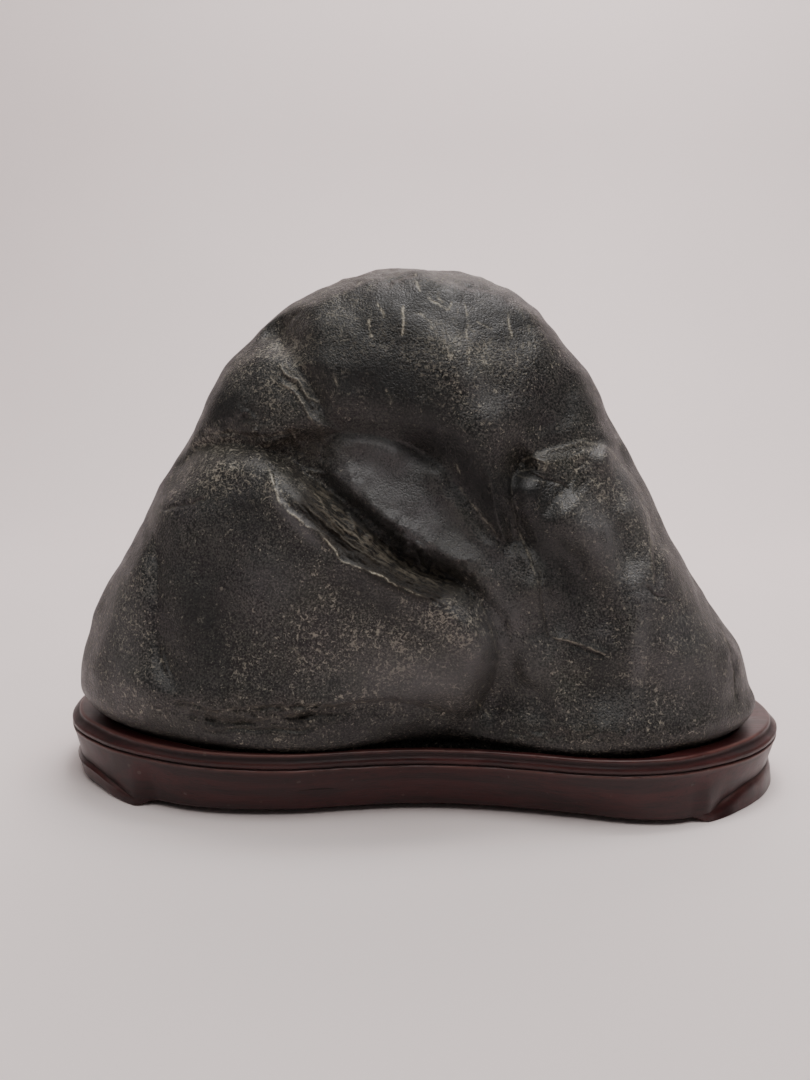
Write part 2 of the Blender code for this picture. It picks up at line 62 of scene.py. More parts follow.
# The relief is laid out on the upright plane y = 0, seen from a point in front and
# from one behind. Swellings: height, width of the rounded border, outline.
FRONT_EYE = (-11.5, -531, 213.8)
BACK_EYE = (0, 560, 180)
SUNK, GROUND, BLEND = 9.0, 2.5, 0.6
TURNED_TO_EYE = (0.08, 0.62)     # how far a face is turned to the eye, none to full relief
FRONT_SWELLINGS = (
    ("belly", 19.0, 15.0, ((-190, 40), (-164, 90), (-132, 134), (-120, 147), (-106, 155),
        (-92, 158), (-79, 157), (-68, 150), (-59, 144), (-47, 136), (-37, 127), (-23, 114),
        (-9, 103), (6, 95), (18, 89), (27, 81), (32, 70), (35, 57), (33, 43), (28, 29), (20, 12),
        (-2, 0), (-24, -8), (-60, -16), (-120, -20), (-180, -10))),
    ("shoulder", 13.0, 12.0, ((-135, 156), (-125, 186), (-108, 206), (-89, 206), (-72, 206),
        (-58, 200), (-52, 188), (-46, 176), (-42, 163), (-58, 158), (-73, 152), (-79, 153),
        (-92, 154), (-106, 152), (-118, 146))),
    ("dome", 17.0, 22.0, ((-92, 208), (-72, 207), (-72, 193), (-66, 183), (-59, 174), (-50, 164),
        (-29, 160), (-12, 156), (4, 146), (20, 129), (33, 110), (41, 113), (40, 130), (42, 150),
        (53, 157), (78, 160), (92, 157), (135, 150), (150, 210), (90, 280), (-15, 290),
        (-95, 260))),
    ("bowl", 7.5, 9.0, ((-52, 148), (-46, 161), (-30, 165), (-12, 160), (3, 150), (14, 137),
        (24, 123), (34, 114), (48, 112), (58, 104), (64, 90), (66, 70), (60, 40), (46, 40),
        (38, 58), (34, 74), (20, 89), (6, 96), (-9, 104), (-23, 116), (-37, 128), (-47, 137))),
    ("right_plate", 9.5, 12.0, ((40, 151), (46, 155), (53, 157), (67, 158), (79, 161), (92, 158),
        (127, 150), (200, 78), (198, 10), (154, -10), (100, -14), (70, -6), (60, 20), (54, 40),
        (48, 52), (53, 62), (57, 75), (54, 90), (50, 102), (45, 116), (40, 130), (38, 142))),
)
# Lines: height, reach on the left and the right of the way it runs, points.
FRONT_LINES = (
    ("cleft", -4.0, 5.5, 7.0, ((-66, 150), (-47, 136), (-37, 127), (-23, 114), (-9, 103), (6, 95),
        (18, 89), (27, 81))),
    ("bowl_lip", 2.2, 9.0, 6.0, ((-46, 144), (-40, 138), (-32, 131), (-21, 121), (-9, 113),
        (3, 106), (17, 101), (32, 95), (42, 88))),
    ("bowl_floor", -2.5, 20.0, 16.0, ((-60, 165), (-44, 163), (-27, 160), (-8, 153), (8, 142),
        (22, 127), (34, 111), (44, 92))),
    ("belly_crest", 3.5, 6.0, 12.0, ((-76, 153), (-72, 145), (-69, 135), (-62, 122), (-53, 113),
        (-45, 104), (-36, 100), (-25, 96), (-13, 91), (-1, 87), (11, 82), (20, 76), (27, 66),
        (29, 52), (24, 38))),
    ("dome_ridge", 3.5, 13.0, 16.0, ((-2, 222), (9, 195), (16, 177), (26, 163), (32, 149),
        (37, 130), (43, 111))),
    ("hem_fill", 3.2, 8.0, 9.0, ((-60, 165), (-46, 163), (-32, 161), (-20, 158), (-8, 154))),
    ("valley", -4.0, 9.0, 9.0, ((43, 88), (43, 68), (39, 50), (34, 34), (30, 14))),
    ("plate_crease", -1.0, 4.0, 3.0, ((38, 152), (39, 140), (44, 122), (50, 104), (54, 88),
        (56, 70), (58, 54))),
    ("plate_brow", 1.2, 6.0, 14.0, ((50, 148), (60, 151), (76, 154), (90, 152))),
    ("bowl_fill", 4.5, 7.5, 7.0, ((-6, 149), (4, 145), (10, 139), (15, 132), (22, 124), (30, 113),
        (36, 103))),
    ("seam_fill", 4.5, 8.0, 7.0, ((39, 148), (41, 136), (44, 124), (49, 108), (53, 94), (56, 78))),
    ("brow_fill", 10.0, 10.0, 8.0, ((42, 151), (52, 156), (66, 159), (78, 160), (92, 156))),
    ("ridge_crest", 2.2, 9.0, 6.0, ((48, 134), (54, 130), (61, 123.5), (68.5, 116), (76, 106),
        (82, 97), (89, 87), (96, 79), (100.5, 64), (103, 44))),
    ("ridge_crease", -3.2, 9.0, 5.0, ((66, 141), (72, 137), (80, 129), (88, 118), (95, 106),
        (99, 92))),
    ("plate_ridge", 7.0, 32.0, 14.0, ((58, 134), (64, 129.5), (71, 124), (82, 116), (92, 104),
        (100, 90), (104, 73), (104, 56), (103, 38))),
    ("plate_edge", 4.0, 22.0, 10.0, ((72, 157), (88, 152), (96, 140), (101, 124), (106, 108),
        (112, 90), (116, 74))),
    ("left_seam", -3.2, 9.0, 6.0, ((-131, 125), (-130, 100), (-129, 75), (-126, 48), (-119, 30))),
    ("bottom_ledge", -4.5, 2.0, 9.0, ((-127, 34), (-115, 24), (-103, 21), (-85, 19), (-66, 20),
        (-46, 27), (-30, 30), (-12, 30), (2, 28), (14, 26), (26, 30))),
    ("right_seam", -1.6, 3.0, 3.0, ((130, 91), (140, 76), (147, 59), (150, 42), (152, 31))),
    ("right_seam_2", -1.2, 2.5, 2.5, ((141, 82), (149, 67), (153, 52), (156, 37))),
)
# Bosses and hollows: height, x, z, half length, half width, turn of the long axis.
FRONT_BOSSES = (
    ("upper_right_hollow", -5.0, 64, 182, 20, 22, 0),
    ("plate_hollow", -4.0, 68, 98, 26, 12, -50),
    ("belly_dip", -4.0, -103, 88, 12, 26, 5),
    ("belly_facet", 1.8, -76, 98, 18, 14, 20),
    ("right_belly", 4.0, 130, 62, 18, 32, 15),
    ("right_toe_hollow", -2.5, 84, 42, 12, 14, 0),
    ("shoulder_pit", -4.0, -93, 163, 7, 6, 0),
    ("valley_lump", 2.5, 41, 77, 7, 6, 0),
    ("valley_lump_2", 2.5, 47, 90, 6, 6, 0),
    ("notch", -5.0, -76, 212, 9, 7, 40),
    ("plate_corner", -3.4, 54, 149, 16, 9, 0),
    ("plate_face", 3.2, 60, 147, 17, 9, 5),
    ("cleft_end_fill", 4.0, 20, 90, 9, 7, -35),
)
BACK_SWELLINGS = (
    ("back_shoulder", 13.5, 30.0, ((-80, 250), (-104, 186), (-76, 142), (-30, 118), (20, 124),
        (64, 142), (104, 170), (70, 244), (0, 270))),
    ("back_left_flank", 14.0, 30.0, ((-190, 30), (-176, 110), (-124, 176), (-88, 184), (-66, 148),
        (-42, 114), (-30, 70), (-38, 16), (-110, 4))),
    ("back_middle", 11.5, 24.0, ((-46, 130), (-38, 72), (-44, 10), (20, 2), (70, 12), (62, 60),
        (68, 110), (48, 148), (8, 140))),
    ("back_right_flank", 13.5, 28.0, ((60, 152), (56, 104), (54, 56), (62, 8), (120, 0), (186, 24),
        (166, 112), (106, 178))),
)
BACK_LINES = (
    ("back_cleft", -4.5, 6.0, 7.0, ((-92, 178), (-72, 148), (-46, 120), (-34, 76), (-40, 30))),
    ("back_vein", -2.5, 4.0, 5.0, ((62, 150), (60, 104), (58, 60), (66, 22))),
)
BACK_BOSSES = (
    ("back_hollow", -4.0, 14, 168, 26, 16, 20),
    ("back_scoop", -4.0, -100, 92, 16, 28, 0),
    ("back_boss", 3.5, 112, 66, 24, 22, 0),
)
# Low lumps all over, folds on the crown and the wander of every line: size, height.
LUMPS = ((46.0, 2.2), (19.0, 1.3), (8.5, 0.5))
LUMPS_START, LUMPS_FULL = 32.0, 48.0
CROWN_FOLDS = ((8.0, 0.55), (3.2, 0.35))
CROWN_START, CROWN_FULL = 224.0, 232.0
RELIEF_START, RELIEF_FULL = 31.0, 58.0
WANDER = ((22.0, 2.4), (7.0, 0.9))

# Fine edges and cracks, laid out the same way. Lines: height, reach on the left and
# the right, how much pale dust lies along it (on the crest, a painted highlight), points. Short
# lines are cracks.
CREST = ((-79, 148.5), (-75.5, 143), (-74.5, 138), (-72.5, 133.5), (-71, 129.5), (-66, 124.5),
         (-61, 121), (-56.5, 117.5), (-52, 115), (-48, 111), (-44.5, 107), (-42.5, 102.5),
         (-37.5, 100), (-32.5, 98.5), (-27, 97), (-19.5, 93), (-5.5, 86.5), (1, 84))
CORE = ((-58.5, 141), (-49, 131), (-40.5, 120.5), (-29, 112), (-15.5, 102.5), (-4, 97), (5.5, 94.5),
        (17, 88))
LIP = ((-40, 149), (-37, 141.5), (-39, 138.5), (-33, 130.5), (-25.5, 125.5), (-18, 121),
       (-9, 115.5), (1.5, 111), (10, 104.5), (17.5, 103.5), (26.5, 103.5))
SEAM = ((36, 151.5), (38, 144), (38, 135.5), (40, 126.5), (41.5, 120), (46, 112), (50, 103),
        (53.5, 95.5), (54, 84.5), (57.5, 68.5), (61, 50.5))
PLATE_TOP = ((45.5, 153.5), (50, 155), (58.5, 157.5), (68.5, 160.5), (75.5, 160), (82.5, 158),
             (87.5, 153.5), (93, 146.5), (99, 136.5), (103, 126.5), (105.5, 116), (106, 105.5),
             (107, 98), (108.5, 91))
FINE_LINES = (
    # The crest's pale line is a painted highlight where its edge glints.
    ("crest", 1.5, 0.9, 3.6, 0.85, CREST),
    ("crest_foot", -0.5, 1.2, 1.2, 0.0, ((-71, 143), (-67, 136), (-68, 130), (-62, 124.5),
        (-54, 119.5), (-46, 113), (-40, 106), (-37, 102.5), (-29, 100), (-19, 96))),
    ("wall_shelf", 0.5, 0.5, 0.8, 0.15, ((-64, 137), (-57, 127), (-49, 119.5), (-40, 112),
        (-31, 106), (-22, 101), (-10, 95))),
    ("inner_ledge", 1.0, 0.5, 1.4, 0.25, ((-63.5, 142), (-57.5, 136.5), (-52, 131), (-45.5, 121.5),
        (-36.5, 115), (-27, 108.5))),
    ("core", -1.4, 1.0, 1.2, 0.0, CORE[:-1]),
    ("core_ridge", 1.3, 0.9, 1.1, 0.0, ((-45, 131), (-35, 121), (-27, 113), (-17, 106.5),
        (-8, 100.5))),
    ("core_ridge_2", 1.2, 0.8, 1.0, 0.0, ((-30, 119.5), (-19, 111.5), (-10, 106), (1, 99.5))),
    ("core_rib", 1.2, 0.8, 0.8, 0.0, ((-22, 113), (-17.5, 107), (-15.5, 101))),
    ("core_rib_2", 1.1, 0.8, 0.8, 0.0, ((-6, 103), (-2.5, 98), (0.5, 93))),
    ("core_rib_3", 1.1, 0.8, 0.8, 0.0, ((-39, 127), (-36, 121), (-35, 116))),
    ("lip", 1.1, 3.0, 1.4, 0.0, LIP),
    ("lip_fold", -1.1, 1.2, 1.2, 0.0, ((-30, 124), (-20, 115), (-8, 110), (-2, 104), (8, 101))),
    ("zigzag_upper", 0.55, 0.4, 0.6, 0.45, ((-70.5, 195.5), (-70, 192), (-66.5, 188.5),
        (-62.5, 186.5), (-59.5, 182), (-57, 178.5), (-49.5, 176.5))),
    ("zigzag_gap", -1.1, 1.1, 1.1, 0.0, ((-71, 190), (-68, 187), (-64, 184.5), (-61, 180),
        (-57.5, 175), (-54, 171))),
    ("zigzag_lower", 0.6, 0.6, 0.4, 0.50, ((-71.5, 185.5), (-66, 183), (-61.5, 177.5), (-58.5, 172),
        (-55, 167.5), (-51.5, 164.5))),
    ("dome_hem", -0.4, 0.8, 2.2, 0.0, ((-49.5, 162), (-33.5, 162.5), (-20.5, 160.5), (-11, 156.5))),
    ("upper_ledge", 0.7, 0.6, 1.6, 0.12, ((-74.5, 155), (-61.5, 146), (-47.5, 143.5))),
    ("lobe_crease", -0.25, 2.4, 1.4, 0.0, ((0.5, 140.5), (14, 130.5), (24, 119), (31.5, 112.5))),
    ("seam", -0.8, 0.5, 0.6, 0.08, SEAM),
    ("plate_top", 0.5, 0.7, 1.8, 0.22, PLATE_TOP),
    ("plate_side_step", -1.3, 3.4, 0.6, 0.0, ((89, 153), (94.5, 146), (100.5, 136), (104.5, 126),
        (107, 116), (107.5, 105.5), (108.5, 98), (110, 91))),
    ("eye_crack", -0.9, 0.5, 0.6, 0.0, ((43.5, 152), (41, 148.5), (45.5, 145.5), (54, 142.5),
        (59.5, 141), (65.5, 137.5))),
    ("eye_arc", 0.6, 0.4, 0.5, 0.55, ((42, 151), (46, 153), (51, 152), (54, 149), (52, 146))),
    ("eye_arc_2", 0.5, 0.4, 0.5, 0.5, ((45, 149), (48, 150.5), (51, 149.5), (50, 147))),
    ("facet_edge", 0.3, 0.4, 1.2, 0.25, ((38, 146), (42, 144), (50, 142), (54, 141))),
    ("side_line", -0.5, 0.5, 0.5, 0.2, ((94.5, 141.5), (103, 128), (112, 113), (121.5, 101.5),
        (129, 93.5))),
    ("side_line_2", -0.4, 0.4, 0.5, 0.15, ((87.5, 153.5), (96, 143.5), (105.5, 128.5), (113, 116))),
    ("side_line_3", 0.4, 0.5, 1.2, 0.15, ((99, 141), (109, 126), (119, 110), (131, 94))),
    ("side_crack", -1.2, 0.6, 0.8, 0.0, ((104.5, 93.5), (108, 88.5), (114, 87), (121, 85))),
    ("belly_side", 1.0, 0.8, 3.4, 0.2, ((24.5, 85), (28, 76), (33, 63.5), (34, 57.5))),
    ("small_ledge", 0.9, 2.2, 0.4, 0.6, ((59.5, 66), (71.5, 64), (79, 61), (87, 57.5))),
    ("small_ledge_under", -0.8, 0.4, 1.2, 0.0, ((68, 63.6), (74, 62), (79, 59.6), (83, 58.8),
        (87, 56.2))),
    ("left_crack", -1.4, 1.2, 0.6, 0.15, ((-131, 125.5), (-125, 124.5), (-118, 126.5),
        (-111, 128.5), (-106, 130.5))),
    ("shoulder_crease", -1.1, 1.2, 0.8, 0.12, ((-108, 160.5), (-94, 161.5), (-79, 160),
        (-61.5, 163.5))),
    ("bottom_step", -1.5, 0.7, 2.0, 0.15, ((-124.5, 30.5), (-112.5, 29), (-102.5, 25), (-88, 27.5),
        (-61, 29), (-36.5, 30))),
    ("bottom_step_2", -1.2, 0.7, 1.5, 0.1, ((-110, 23.5), (-95.5, 20), (-79.5, 21.5), (-61, 24),
        (-36.5, 26.5))),
    ("left_edge", -0.8, 2.4, 0.9, 0.0, ((-131.5, 119.5), (-130, 100.5), (-129.5, 80.5), (-132, 61),
        (-130, 40.5))),
    ("right_line", -0.9, 0.8, 0.5, 0.25, ((138, 76.5), (142, 66.5), (147.5, 52), (152, 34))),
    ("right_line_2", -0.8, 0.8, 0.5, 0.25, ((141, 81.5), (148, 64.5), (155, 42))),
    ("crown_dent", -1.2, 0.9, 0.6, 0.0, ((-21.5, 230.5), (-17.5, 233), (-8.5, 234))),
    ("crown_dent_2", -1.2, 1.0, 0.7, 0.0, ((6.5, 234), (17, 230.5), (25.5, 230.5), (35.5, 226))),
    ("notch_edge", -1.2, 1.0, 0.7, 0.1, ((-82.5, 204), (-71, 208), (-61.5, 218.5))),
    ("seam_hair", -0.3, 0.4, 0.4, 0.4, ((42, 118), (46, 110), (49.5, 100), (53, 92))),
    ("left_split", -1.1, 0.8, 0.5, 0.0, ((-130, 60), (-129, 50), (-127, 43))),
    ("left_split_2", -0.9, 0.6, 0.5, 0.0, ((-127, 55), (-125.5, 48), (-123.5, 43))),
    ("bottom_gash", -0.35, 0.6, 0.9, 0.0, ((-96, 21), (-91, 20.6), (-87, 20.6))),
    ("bottom_wave", -1.2, 0.6, 1.4, 0.1, ((-112, 19.5), (-104, 15.5), (-93, 17), (-81.5, 16.5),
        (-71, 17.5), (-61, 16.5), (-52, 21))),
    ("bottom_fold", -1.2, 0.7, 1.4, 0.0, ((-85.5, 23.5), (-75.5, 24.5), (-61, 24), (-49, 32.5))),
    ("stroke_1", 0.2, 0.3, 0.3, 0.4, ((10, 151.5), (14, 144))),
    ("stroke_2", 0.2, 0.3, 0.3, 0.4, ((11.5, 168), (15.5, 164.5))),
)
# Hair scratches: how much pale dust lies in them, points.
HAIR_DEPTH, HAIR_REACH = -0.1, 0.3
HAIRS = (
    (0.5, ((-22, 184), (-20, 180), (-19.5, 176))),
    (0.5, ((-47, 191), (-45.5, 187), (-44, 184))),
    (0.4, ((-3, 181), (1, 177.5), (4, 176))),
    (0.4, ((13, 139), (20, 130), (27, 122), (33, 113.5))),
    (0.4, ((-66, 60), (-62, 55), (-63, 50))),
    (0.5, ((24, 35), (29, 30), (32, 25))),
    (0.9, ((-30, 216), (-30, 211.5), (-29.5, 208.5), (-29, 206.5))),
    (1.0, ((-14.5, 221.5), (-14.5, 215), (-14.5, 207.5))),
    (0.7, ((-27, 222.5), (-25, 219.5), (-23.5, 217), (-23.5, 214.5))),
    (0.7, ((-4.5, 225.5), (0.5, 223), (4.5, 220.5), (6.5, 220), (8, 224.5))),
    (0.6, ((0.5, 226.5), (2, 224.5), (3.5, 223))),
    (0.8, ((-9.5, 235), (-8.5, 231.5), (-6.5, 227))),
    (0.6, ((12.5, 226), (14.5, 220.5), (15, 214.5), (15, 208), (16, 201), (16.5, 192))),
    (0.5, ((10, 220.5), (10.5, 215.5))),
    (0.6, ((33.5, 219.5), (34, 214.5), (36, 207.5))),
    (0.5, ((19, 215), (23, 213.5), (27, 212))),
    (0.5, ((6, 198.5), (9, 199.5))),
    (0.6, ((-10, 218), (-7, 218), (-4.5, 216.5), (-2, 214), (-1.5, 210))),
)
# Rough patches: height, size of the lumps, x, z, half length, half width, turn.
ROUGH_PATCHES = (
    ("cleft_end", 2.0, 4.0, 16, 94, 11, 9, -20),
    ("shiny_patch", 1.5, 5.5, 38, 73, 9, 15, 20),
    ("lip_scallops", 1.3, 6.0, -6, 113, 24, 7, -38),
    ("lip_top", 1.2, 5.0, -37, 141, 8, 7, 0),
    ("pit", 1.8, 3.5, -86, 168, 6, 9, 0),
    ("core_floor", 3.0, 5.0, -14, 107, 34, 8, -38),
    ("lip_rubble", 1.1, 3.0, -12, 113, 30, 5, -38),
    ("core_rubble", 1.4, 2.2, -14, 107, 36, 9, -38),
    ("plate_face", 0.35, 5.0, 84, 130, 20, 24, 40),
    ("shoulder_scar", 1.5, 3.6, -66, 157, 24, 9, -12),
    ("bottom_left", 1.5, 5.0, -92, 25, 40, 7, 0),
    ("bottom_left_fine", 0.9, 2.6, -92, 24, 44, 7, 0),
    ("bottom_right", 1.2, 5.0, 84, 18, 56, 6, 0),
    ("bottom_right_fine", 0.8, 2.4, 70, 16, 60, 5, 0),
    ("bottom_middle", 1.0, 4.5, 0, 26, 40, 6, 0),
    ("belly_rim", 0.5, 3.0, -56, 118, 30, 5, -46),
)
FIBRES = ((1.0, 10.0, 0.42), (0.6, 6.0, 0.25))   # width, length and height of the fibres
FIBRES_FROM, FIBRES_TO = 2.5, 17.0               # distance from the core of the cleft
CLEFT_LENGTH = 90.0
CORE_ABOVE, CORE_BELOW = 3.5, 4.5                # reach of the core to its two sides
FINE_WANDER = ((5.0, 0.6), (1.8, 0.35))
FINE_START, FINE_FULL = 31.8, 36.0
PALE_WIDTH = 0.36              # half width of the dust along a fine line
BESIDE = 1.1                   # how far beside a dusty line the mesh is made finer

# Colour patches in the same layout: strength, x, z, half length, half width, turn.
FLECK_GROUND = 0.34
FLECK_PATCHES = (
    (0.62, 2, 214, 58, 24, 0), (0.55, -70, 190, 30, 24, 30), (0.5, -112, 150, 26, 14, 20),
    (0.55, 0, 62, 36, 16, 25), (0.60, 86, 128, 16, 30, 35), (0.22, 112, 60, 26, 40, 10),
    (0.35, -80, 140, 34, 12, -20), (0.30, -150, 80, 14, 60, 0), (0.35, -60, 60, 50, 20, 0),
    (-0.55, -10, 140, 44, 20, -35), (-0.35, 68, 178, 22, 18, 0), (-0.40, 66, 96, 18, 30, 0),
    (-0.25, -90, 92, 30, 24, 0), (-0.45, 16, 112, 26, 14, -30), (-0.3, -60, 172, 14, 12, 0))
BROWN_PATCHES = (
    (0.80, -58, 157, 22, 9, -10), (0.70, 17, 96, 13, 10, -20), (0.35, -4, 214, 80, 26, 0),
    (0.45, 90, 132, 12, 34, 35), (0.50, 60, 153, 26, 5, 8), (0.40, 122, 100, 10, 44, 35),
    (0.40, -104, 150, 30, 12, 10), (0.30, 0, 50, 44, 14, 0), (0.6, -92, 24, 44, 8, 0),
    (0.45, 80, 15, 60, 6, 0), (0.30, 40, 118, 5, 30, 12))
GLOSS_PATCHES = (
    (0.9, 38, 73, 9, 14, 20), (1.0, -38, 141, 7, 6, 0), (0.6, -8, 116, 22, 5, -38),
    (0.8, -14, 134, 28, 14, -35), (0.8, -74, 137, 4, 12, 10), (0.6, -48, 110, 20, 3, -46),
    (0.3, 78, 118, 7, 22, 42), (0.9, 97, 90, 6, 22, 15), (0.7, 102, 56, 5, 24, 0),
    (0.35, 0, 190, 18, 30, 20))
# Painted light and shade: paler (above 0) places are painted light, such as the highlight along the
# lip, and darker places are painted shade.
PAINTED_LIGHT_SHADE_PATCHES = (
    (0.5, -147, 62, 11, 36, 0), (-0.75, -108, 70, 20, 34, 0), (-0.6, -90, 128, 18, 13, 0),
    (0.35, -74, 92, 26, 15, 0), (-0.5, -24, 82, 42, 8, -38), (0.6, 2, 49, 40, 16, 5),
    (0.45, 28, 60, 8, 17, 0), (-1.0, -99, 171, 18, 10, 10), (0.25, -116, 145, 20, 14, 0),
    (-0.75, -36, 189, 38, 17, 0), (-0.75, 12, 154, 44, 13, -48), (0.5, 18, 190, 32, 9, -62),
    (-0.4, 63, 176, 20, 16, 0), (-0.35, 34, 212, 26, 16, -30), (0.95, -10, 128, 40, 13, -38),
    (0.5, 36, 76, 9, 16, 15), (-0.3, 10, 226, 40, 8, 0), (0.9, -34, 141, 9, 6, 0),
    (0.8, 84, 112, 30, 9, -52), (-0.7, 44, 140, 9, 6, 0), (-0.6, 60, 134, 12, 8, 30),
    (-0.45, 53, 141, 12, 8, 0), (0.7, 103, 62, 4, 26, 0), (-0.5, 62, 104, 34, 12, -52),
    (-0.6, 84, 53, 16, 14, 0), (-0.4, 37, 38, 12, 20, 0), (0.5, 127, 62, 20, 34, 0),
    (-0.4, -12, 18, 150, 7, 0), (0.8, 98, 136, 10, 42, 38), (-0.3, 0, 214, 50, 16, 0),
    (0.6, -8, 152, 24, 7, -18), (0.15, 92, 134, 16, 14, 0), (-0.7, 0, 218, 54, 18, 0),
    (0.35, 80, 119, 14, 8, -45), (0.2, 60, 60, 40, 40, 0), (1.0, -66, 123, 24, 3.4, -48),
    (-0.5, 24, 138, 6, 22, 40), (0.3, -8, 40, 40, 10, 0))

FACES = 192000
SPHERE_DETAIL = 7
SPLIT_ROUNDS = 4
SMALLEST_MISS = 0.03           # an edge that misses the surface by less is left alone
LINE_PULL, LINE_EDGE = 0.30, 0.5     # extra weight for edges on a fine line, over this length
CLEFT_PULL, CLEFT_EDGE = 0.1, 0.9    # and for edges in the cleft
HIDDEN_BELOW = 29                    # the seat hides the stone below this height


def smoothstep(low, high, value):
    t = np.clip((value - low) / (high - low), 0.0, 1.0)
    return t * t * (3.0 - 2.0 * t)


def rounded_path(points, closed, steps=4):
    """A smooth line through the points (Catmull-Rom)."""
    pts = np.array(points, float)
    if closed:
        pts = np.vstack([pts[-1], pts, pts[0], pts[1]])
    else:
        pts = np.vstack([2 * pts[0] - pts[1], pts, 2 * pts[-1] - pts[-2]])
    line = []
    for a, b, c, d in zip(pts[:-3], pts[1:-2], pts[2:-1], pts[3:]):
        for t in np.arange(steps) / steps:
            line.append(0.5 * (2 * b + (c - a) * t + (2 * a - 5 * b + 4 * c - d) * t ** 2
                               + (3 * b - a - 3 * c + d) * t ** 3))
    line.append(pts[1] if closed else pts[-2])
    return np.array(line)


def distance_to(path, u, v):
    """Distance of each (u, v) from the path, how far along it from 0 to 1, and
    whether it lies on the left of the way the path runs."""
    best = np.full(u.shape, 1e9)
    along = np.zeros(u.shape)
    left = np.zeros(u.shape, bool)
    count = len(path) - 1
    for i in range(count):
        (ax, ay), (bx, by) = path[i], path[i + 1]
        dx, dy = bx - ax, by - ay
        t = np.clip(((u - ax) * dx + (v - ay) * dy) / (dx * dx + dy * dy + 1e-9), 0.0, 1.0)
        gap = np.hypot(u - ax - t * dx, v - ay - t * dy)
        nearer = gap < best
        best = np.where(nearer, gap, best)
        along = np.where(nearer, (i + t) / count, along)
        left = np.where(nearer, dx * (v - ay) > dy * (u - ax), left)
    return best, along, left


def inside(path, u, v):
    """True where (u, v) is inside the closed path (crossing count)."""
    crossed = np.zeros(u.shape, bool)
    for (ax, ay), (bx, by) in zip(path[:-1], path[1:]):
        if ay == by:
            continue
        spans = (ay > v) != (by > v)
        crossed ^= spans & (u < ax + (v - ay) * (bx - ax) / (by - ay))
    return crossed


def noise_field(points, size, seed):
    """Smooth noise about 0 at each point, with lumps of the size in millimetres."""
    shift = Vector((seed * 17.3, seed * 5.1, seed * 9.7))
    return np.array([noise.noise(Vector(p) / size + shift) for p in points])


def stone_profile(lift):
    """Height, left, right, front and back at lift 0 (the foot) to 1 (the crown)."""
    foot_x, foot_z, foot_y = STONE_FOOT
    crown_x, crown_z, crown_y = STONE_CROWN
    rows = np.array([(foot_z, foot_x, foot_x, foot_y, foot_y), *STONE_SECTIONS,
                     (crown_z, crown_x, crown_x, crown_y, crown_y)], float)
    reach = (rows[:, 2] - rows[:, 1]) * 0.3 + (rows[:, 4] - rows[:, 3]) * 0.2
    steps = np.hypot(np.diff(rows[:, 0]), np.diff(reach))
    place = np.concatenate([[0.0], np.cumsum(steps)]) / steps.sum()
    slope = np.gradient(rows, place, axis=0)
    i = np.clip(np.searchsorted(place, lift, side="right") - 1, 0, len(place) - 2)
    span = (place[i + 1] - place[i])[:, None]
    t = (lift[:, None] - place[i][:, None]) / span
    return ((2 * t ** 3 - 3 * t ** 2 + 1) * rows[i] + (t ** 3 - 2 * t ** 2 + t) * span * slope[i]
            + (3 * t ** 2 - 2 * t ** 3) * rows[i + 1] + (t ** 3 - t ** 2) * span * slope[i + 1])


def stone_form(directions):
    """The plain form, before carving, met in each direction from the middle."""
    d = directions / np.linalg.norm(directions, axis=1)[:, None]
    z, left, right, front, back = stone_profile(np.arcsin(np.clip(d[:, 2], -1, 1)) / pi + 0.5).T
    turn = np.arctan2(d[:, 1], d[:, 0])
    c, s = np.cos(turn), np.sin(turn)
    power = SEAT_POWER + (SECTION_POWER - SEAT_POWER) * smoothstep(30, 64, z)
    square = (np.abs(c) ** power + np.abs(s) ** power) ** (-1 / power)
    x = (left + right) / 2 + (right - left) / 2 * c * square
    y = (front + back) / 2 + (back - front) / 2 * s * square
    waist = WAIST_DEPTH * np.exp(-((x - WAIST_X) / WAIST_REACH) ** 2)
    y += waist * np.clip(-s, 0, 1) * smoothstep(WAIST_TOP, 30, z)
    return np.stack([x, y, z], axis=1)


def stone_normals(directions, points):
    """Outward normals of the plain form, from two neighbouring points each."""
    tilt = np.where(np.abs(directions[:, 2:3]) < 0.9, [[0.0, 0.0, 1.0]], [[1.0, 0.0, 0.0]])
    side = np.cross(tilt, directions)
    side /= np.linalg.norm(side, axis=1)[:, None]
    up = np.cross(directions, side)
    step = 0.004
    normal = np.cross(stone_form(directions + step * side) - points,
                      stone_form(directions + step * up) - points)
    return normal / (np.linalg.norm(normal, axis=1)[:, None] + 1e-12)


def patch(u, v, x, z, length, width, turn):
    """1 at the middle of a soft oval patch, falling to 0 round it."""
    c, s = np.cos(radians(turn)), np.sin(radians(turn))
    across, along = (u - x) * c + (v - z) * s, (v - z) * c - (u - x) * s
    return np.exp(-(across / length) ** 2 - (along / width) ** 2)


def near(points, reach, u, v):
    """Which laid-out points lie within reach of the box round the given points."""
    low, high = np.min(points, axis=0) - reach, np.max(points, axis=0) + reach
    return np.flatnonzero((u > low[0]) & (u < high[0]) & (v > low[1]) & (v < high[1]))


